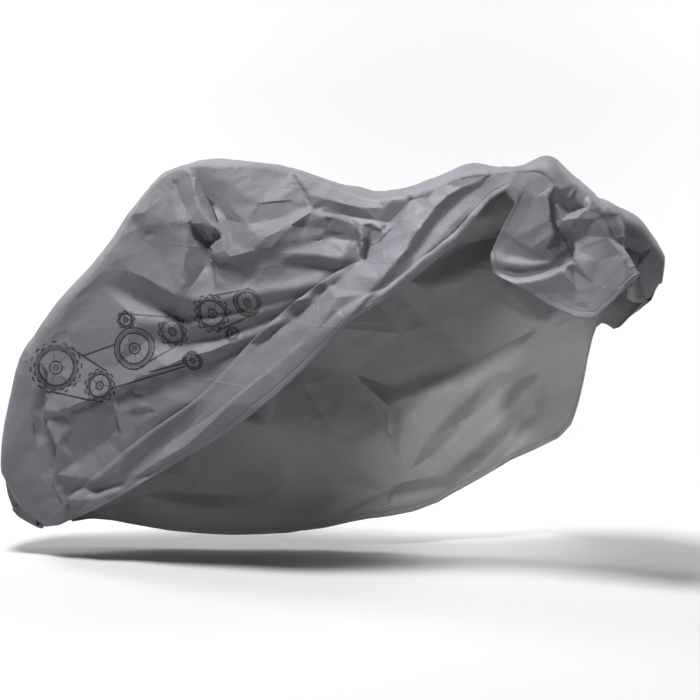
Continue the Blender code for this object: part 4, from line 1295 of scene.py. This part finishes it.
def drawingGroup():
    group, given, out = startGroup("line drawing", {"Place": None, "Line": 0.0016}, ("Ink", "Fill"))
    disc, belt = discGroup(), beltGroup()
    common = {"Place": given["Place"], "Line": given["Line"]}
    discs = [placeGroup(group, disc, X=x, Z=z, Radius=radius, Teeth=teeth, Rays=rays, **common)
             for x, z, radius, teeth, rays in printedDiscs]
    belts = [placeGroup(group, belt, X1=x1, Z1=z1, X2=x2, Z2=z2, **common)
             for x1, z1, x2, z2 in printedLines]
    feed(group, most(group, [drawn["Ink"] for drawn in discs + belts]), out["Ink"])
    feed(group, most(group, [drawn["Fill"] for drawn in discs]), out["Fill"])
    return group


# The film's two faces. First what both share, with each effect's own values
filmSettings = {
    "crinkle": {"Cell": 0.055},
    "crinkleHeight": 0.045,      # share of the cell
    "fine": {"Cell": 0.016, "Turn": -0.5, "Stretch": 0.7},
    "fineHeight": 0.022,
    "packing": {"Pitch": 0.155},
    "tint": {"Size": 0.24},
    "hemStitch": {"Offset": 0.014},
    "seamStitch": {"Offset": 0.006},
    "print": {"Line": 0.0026},
    "ink": (0.012, 0.012, 0.013, 1.0),
    "inkShare": 0.92,
    "inkWorn": 0.5,              # how much of the ink the creases rub off
    "inkSmoother": 0.12,
    "fill": (0.030, 0.029, 0.032, 1.0),
    "fillShare": 0.62,
    "thread": (0.070, 0.068, 0.074, 1.0),
    "dust": (0.230, 0.226, 0.232, 1.0),
    "dustShare": 0.10,
    "wornShare": 0.10,
    "wornRougher": 0.08,
}
outsideSettings = {
    "main": (0.146, 0.141, 0.163, 1.0),
    "other": (0.130, 0.128, 0.139, 1.0),
    "roughness": (0.50, 0.64),
    "specular": 0.36,
    "printed": True,
}
# the inside face is the same film painted paler than the outside: painted light that brightens the shaded
# inside of the cover
insidePaintedPaler = {
    "main": (0.250, 0.248, 0.260, 1.0),
    "other": (0.200, 0.198, 0.208, 1.0),
    "roughness": (0.46, 0.58),
    "specular": 0.34,
    "printed": False,
}


def filmMaterial(name, settings, groups):
    film = filmSettings
    material = bpy.data.materials.new(name)
    material.use_nodes = True
    tree = material.node_tree
    shader = tree.nodes["Principled BSDF"]
    maps = []
    for mapName in ("clothPlace", "fromEdges", "alongCloth"):
        node = tree.nodes.new("ShaderNodeUVMap")
        node.uv_map = mapName
        maps.append(node.outputs["UV"])
    place = maps[0]
    fromSeam, fromHem = splitVector(tree, maps[1])
    along, down = splitVector(tree, maps[2])
    crinkle = placeGroup(tree, groups["crinkle"], Place=place, **film["crinkle"])
    fine = placeGroup(tree, groups["crinkle"], Place=place, **film["fine"])
    packing = placeGroup(tree, groups["packing"], Place=place, **film["packing"])
    weave = placeGroup(tree, groups["weave"], Place=place)
    tint = placeGroup(tree, groups["tint"], Place=place, **film["tint"])
    hemStitch = placeGroup(tree, groups["stitch"], Across=fromHem, Along=along, **film["hemStitch"])
    seamStitch = placeGroup(tree, groups["stitch"], Across=fromSeam, Along=along, **film["seamStitch"])
    worn = calc(tree, "MAXIMUM", packing["Folds"], crinkle["Creases"])
    colour = mixColour(tree, tint["Tone"], settings["main"], settings["other"])
    colour = mixColour(tree, times(tree, tint["Dust"], film["dustShare"]), colour, film["dust"])
    colour = mixColour(tree, times(tree, worn, film["wornShare"]), colour, film["dust"])
    smooth, rough = settings["roughness"]
    roughness = calc(tree, "MULTIPLY_ADD", tint["Tone"], rough - smooth, smooth)
    roughness = calc(tree, "MULTIPLY_ADD", worn, film["wornRougher"], roughness)
    if settings["printed"]:
        drawing = placeGroup(tree, groups["drawing"], Place=place, **film["print"])
        rubbed = minus(tree, film["inkShare"], times(tree, worn, film["inkWorn"]))
        colour = mixColour(tree, times(tree, drawing["Fill"], film["fillShare"]), colour, film["fill"])
        colour = mixColour(tree, times(tree, drawing["Ink"], rubbed), colour, film["ink"])
        roughness = minus(tree, roughness, times(tree, drawing["Ink"], film["inkSmoother"]))
    threads = calc(tree, "MAXIMUM", hemStitch["Thread"], seamStitch["Thread"])
    colour = mixColour(tree, threads, colour, film["thread"])
    height = times(tree, crinkle["Height"], film["crinkleHeight"])
    height = calc(tree, "MULTIPLY_ADD", fine["Height"], film["fineHeight"], height)
    for part in (packing, weave, hemStitch, seamStitch):
        height = plus(tree, height, part["Height"])
    bump = tree.nodes.new("ShaderNodeBump")
    bump.inputs["Distance"].default_value = 1.0
    feed(tree, height, bump.inputs["Height"])
    feed(tree, colour, shader.inputs["Base Color"])
    feed(tree, roughness, shader.inputs["Roughness"])
    feed(tree, bump.outputs["Normal"], shader.inputs["Normal"])
    shader.inputs["Specular IOR Level"].default_value = settings["specular"]
    return material


print("materials: film and its print")
effectGroups = {"crinkle": crinkleGroup(), "packing": packingGroup(), "weave": weaveGroup(),
                "tint": tintGroup(), "stitch": stitchGroup(), "drawing": drawingGroup()}
filmOutside = filmMaterial("film outside", outsideSettings, effectGroups)
filmPlain = filmMaterial("film outside plain", outsideSettings | {"printed": False}, effectGroups)
filmInsidePaintedPaler = filmMaterial("film inside painted paler", insidePaintedPaler, effectGroups)

print("cloth: folding the drape")
base, folded, creased, seamRow = foldedCover()
print("cloth:", folded.shape[0], "columns,", seamRow, "and", folded.shape[1] - seamRow, "rows")
toward = folded[:, seamRow - 1] - folded[:, seamRow + 1]
toward /= np.linalg.norm(toward, axis=1, keepdims=True)
nearPoints = folded[:, :seamRow + 1].copy()
nearPoints[:, -1] += toward * coverSettings["seamGap"] / 2
farPoints = folded[:, seamRow:].copy()
farPoints[:, 0] -= toward * coverSettings["seamGap"] / 2
nearPanel = addSheet("nearPanel", "near", nearPoints, base[:, :seamRow + 1],
                     creased[:, :seamRow + 1], (filmOutside, filmInsidePaintedPaler))
farPanel = addSheet("farPanel", "far", farPoints, base[:, seamRow:],
                    creased[:, seamRow:], (filmPlain, filmInsidePaintedPaler))
for sheet, node, slot, area in (
        (nearPanel, "near_side_panel", "film_outside", coverSettings["nearArea"]),
        (farPanel, "far_side_panel", "film_inside", coverSettings["farArea"])):
    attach(sheet, "root")
    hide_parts(node)

# Stage, light and camera
studio = {
    "floor": (0.50, 0.50, 0.505, 1.0),
    "floorHeight": -restPoint.z,
    "floorRoughness": 0.9,
    "floorSpecular": 0.1,
    "halfWidth": 9.0,
    "front": -7.0,
    "back": 4.2,
    "wallHeight": 6.0,
    "bendRadius": 1.6,
    "bendSteps": 12,
    "world": 0.06,
    "spotRadius": 0.12,
}
lamps = (
    # name, kind, place, what it points at, an area's side or a spot's angle, power
    ("key", "AREA", (-0.6, -1.3, 3.6), (0.25, 0.0, -0.45), 1.0, 348.0),
    ("low key", "SPOT", (0.40, -2.4, 1.75), (0.59, 0.2, -0.73), 11.0, 430.0),
    ("front strip light", "SPOT", (1.6, -4.4, -0.1), (0.80, 0.2, -0.51), 6.8, 380.0),
    ("front fill", "AREA", (-1.5, -4.0, 0.6), (0.25, 0.0, -0.45), 2.0, 14.0),
    ("wall left", "AREA", (-3.5, 1.6, 2.6), (-1.0, 4.2, 0.4), 2.0, 220.0),
    ("wall right", "AREA", (4.0, 1.6, 2.6), (1.5, 4.2, 0.4), 2.0, 220.0),
)


def addStudio():
    # a floor that bends up into the back wall
    s = studio
    profile = [(s["front"], 0.0)]
    for step in range(s["bendSteps"] + 1):
        angle = math.radians(90.0 * step / s["bendSteps"])
        profile.append((s["back"] - s["bendRadius"] + s["bendRadius"] * math.sin(angle),
                        s["bendRadius"] - s["bendRadius"] * math.cos(angle)))
    profile.append((s["back"], s["wallHeight"]))
    points, faces = [], []
    for y, z in profile:
        points += [(-s["halfWidth"], y, z + s["floorHeight"]), (s["halfWidth"], y, z + s["floorHeight"])]
    for row in range(len(profile) - 1):
        faces.append((2 * row, 2 * row + 1, 2 * row + 3, 2 * row + 2))
    mesh = bpy.data.meshes.new("studioFloor")
    mesh.from_pydata(points, [], faces)
    for face in mesh.polygons:
        face.use_smooth = True
    material = bpy.data.materials.new("studio paper")
    material.use_nodes = True
    shader = material.node_tree.nodes["Principled BSDF"]
    shader.inputs["Base Color"].default_value = s["floor"]
    shader.inputs["Roughness"].default_value = s["floorRoughness"]
    shader.inputs["Specular IOR Level"].default_value = s["floorSpecular"]
    mesh.materials.append(material)
    floor = bpy.data.objects.new("studioFloor", mesh)
    bpy.context.scene.collection.objects.link(floor)


def addLamp(name, kind, place, target, size, power):
    data = bpy.data.lights.new(name, kind)
    if kind == "SPOT":
        data.spot_size = math.radians(size)
        data.spot_blend = 1.0
        data.shadow_soft_size = studio["spotRadius"]
    else:
        data.size = size
    data.energy = power
    lamp = bpy.data.objects.new(name, data)
    lamp.location = place
    aim = Vector(target) - Vector(place)
    lamp.rotation_euler = aim.to_track_quat("-Z", "Y").to_euler()
    bpy.context.scene.collection.objects.link(lamp)


def addLights():
    world = bpy.data.worlds.new("studio air")
    world.use_nodes = True
    background = world.node_tree.nodes["Background"]
    background.inputs["Color"].default_value = (1.0, 1.0, 1.0, 1.0)
    background.inputs["Strength"].default_value = studio["world"]
    bpy.context.scene.world = world
    for lamp in lamps:
        addLamp(*lamp)


cameraSettings = {
    "distance": 3.4,
    "azimuth": 5.45,
    "elevation": 4.0,
    "roll": 1.28,
    "aim": (0.489, 0.0, 0.528),
    "lens": 72.74,
    "sensor": 36.0,
}


def addCamera():
    s = cameraSettings
    azimuth, elevation, roll = (math.radians(s[name]) for name in ("azimuth", "elevation", "roll"))
    back = Vector((math.sin(azimuth) * math.cos(elevation),
                   -math.cos(azimuth) * math.cos(elevation), math.sin(elevation)))
    right = Vector((0, 0, 1)).cross(back).normalized()
    up = back.cross(right)
    rolledRight = right * math.cos(roll) + up * math.sin(roll)
    rolledUp = up * math.cos(roll) - right * math.sin(roll)
    place = Vector(s["aim"]) + back * s["distance"] - restPoint
    data = bpy.data.cameras.new("camera")
    data.sensor_width = s["sensor"]
    data.lens = s["lens"]
    camera = bpy.data.objects.new("camera", data)
    turn = Matrix((rolledRight, rolledUp, back)).transposed()
    camera.matrix_world = Matrix.Translation(place) @ turn.to_4x4()
    bpy.context.scene.collection.objects.link(camera)
    bpy.context.scene.camera = camera


print("studio: floor, lights and camera")
addStudio()
addLights()
addCamera()
bpy.context.scene.view_settings.view_transform = "Standard"
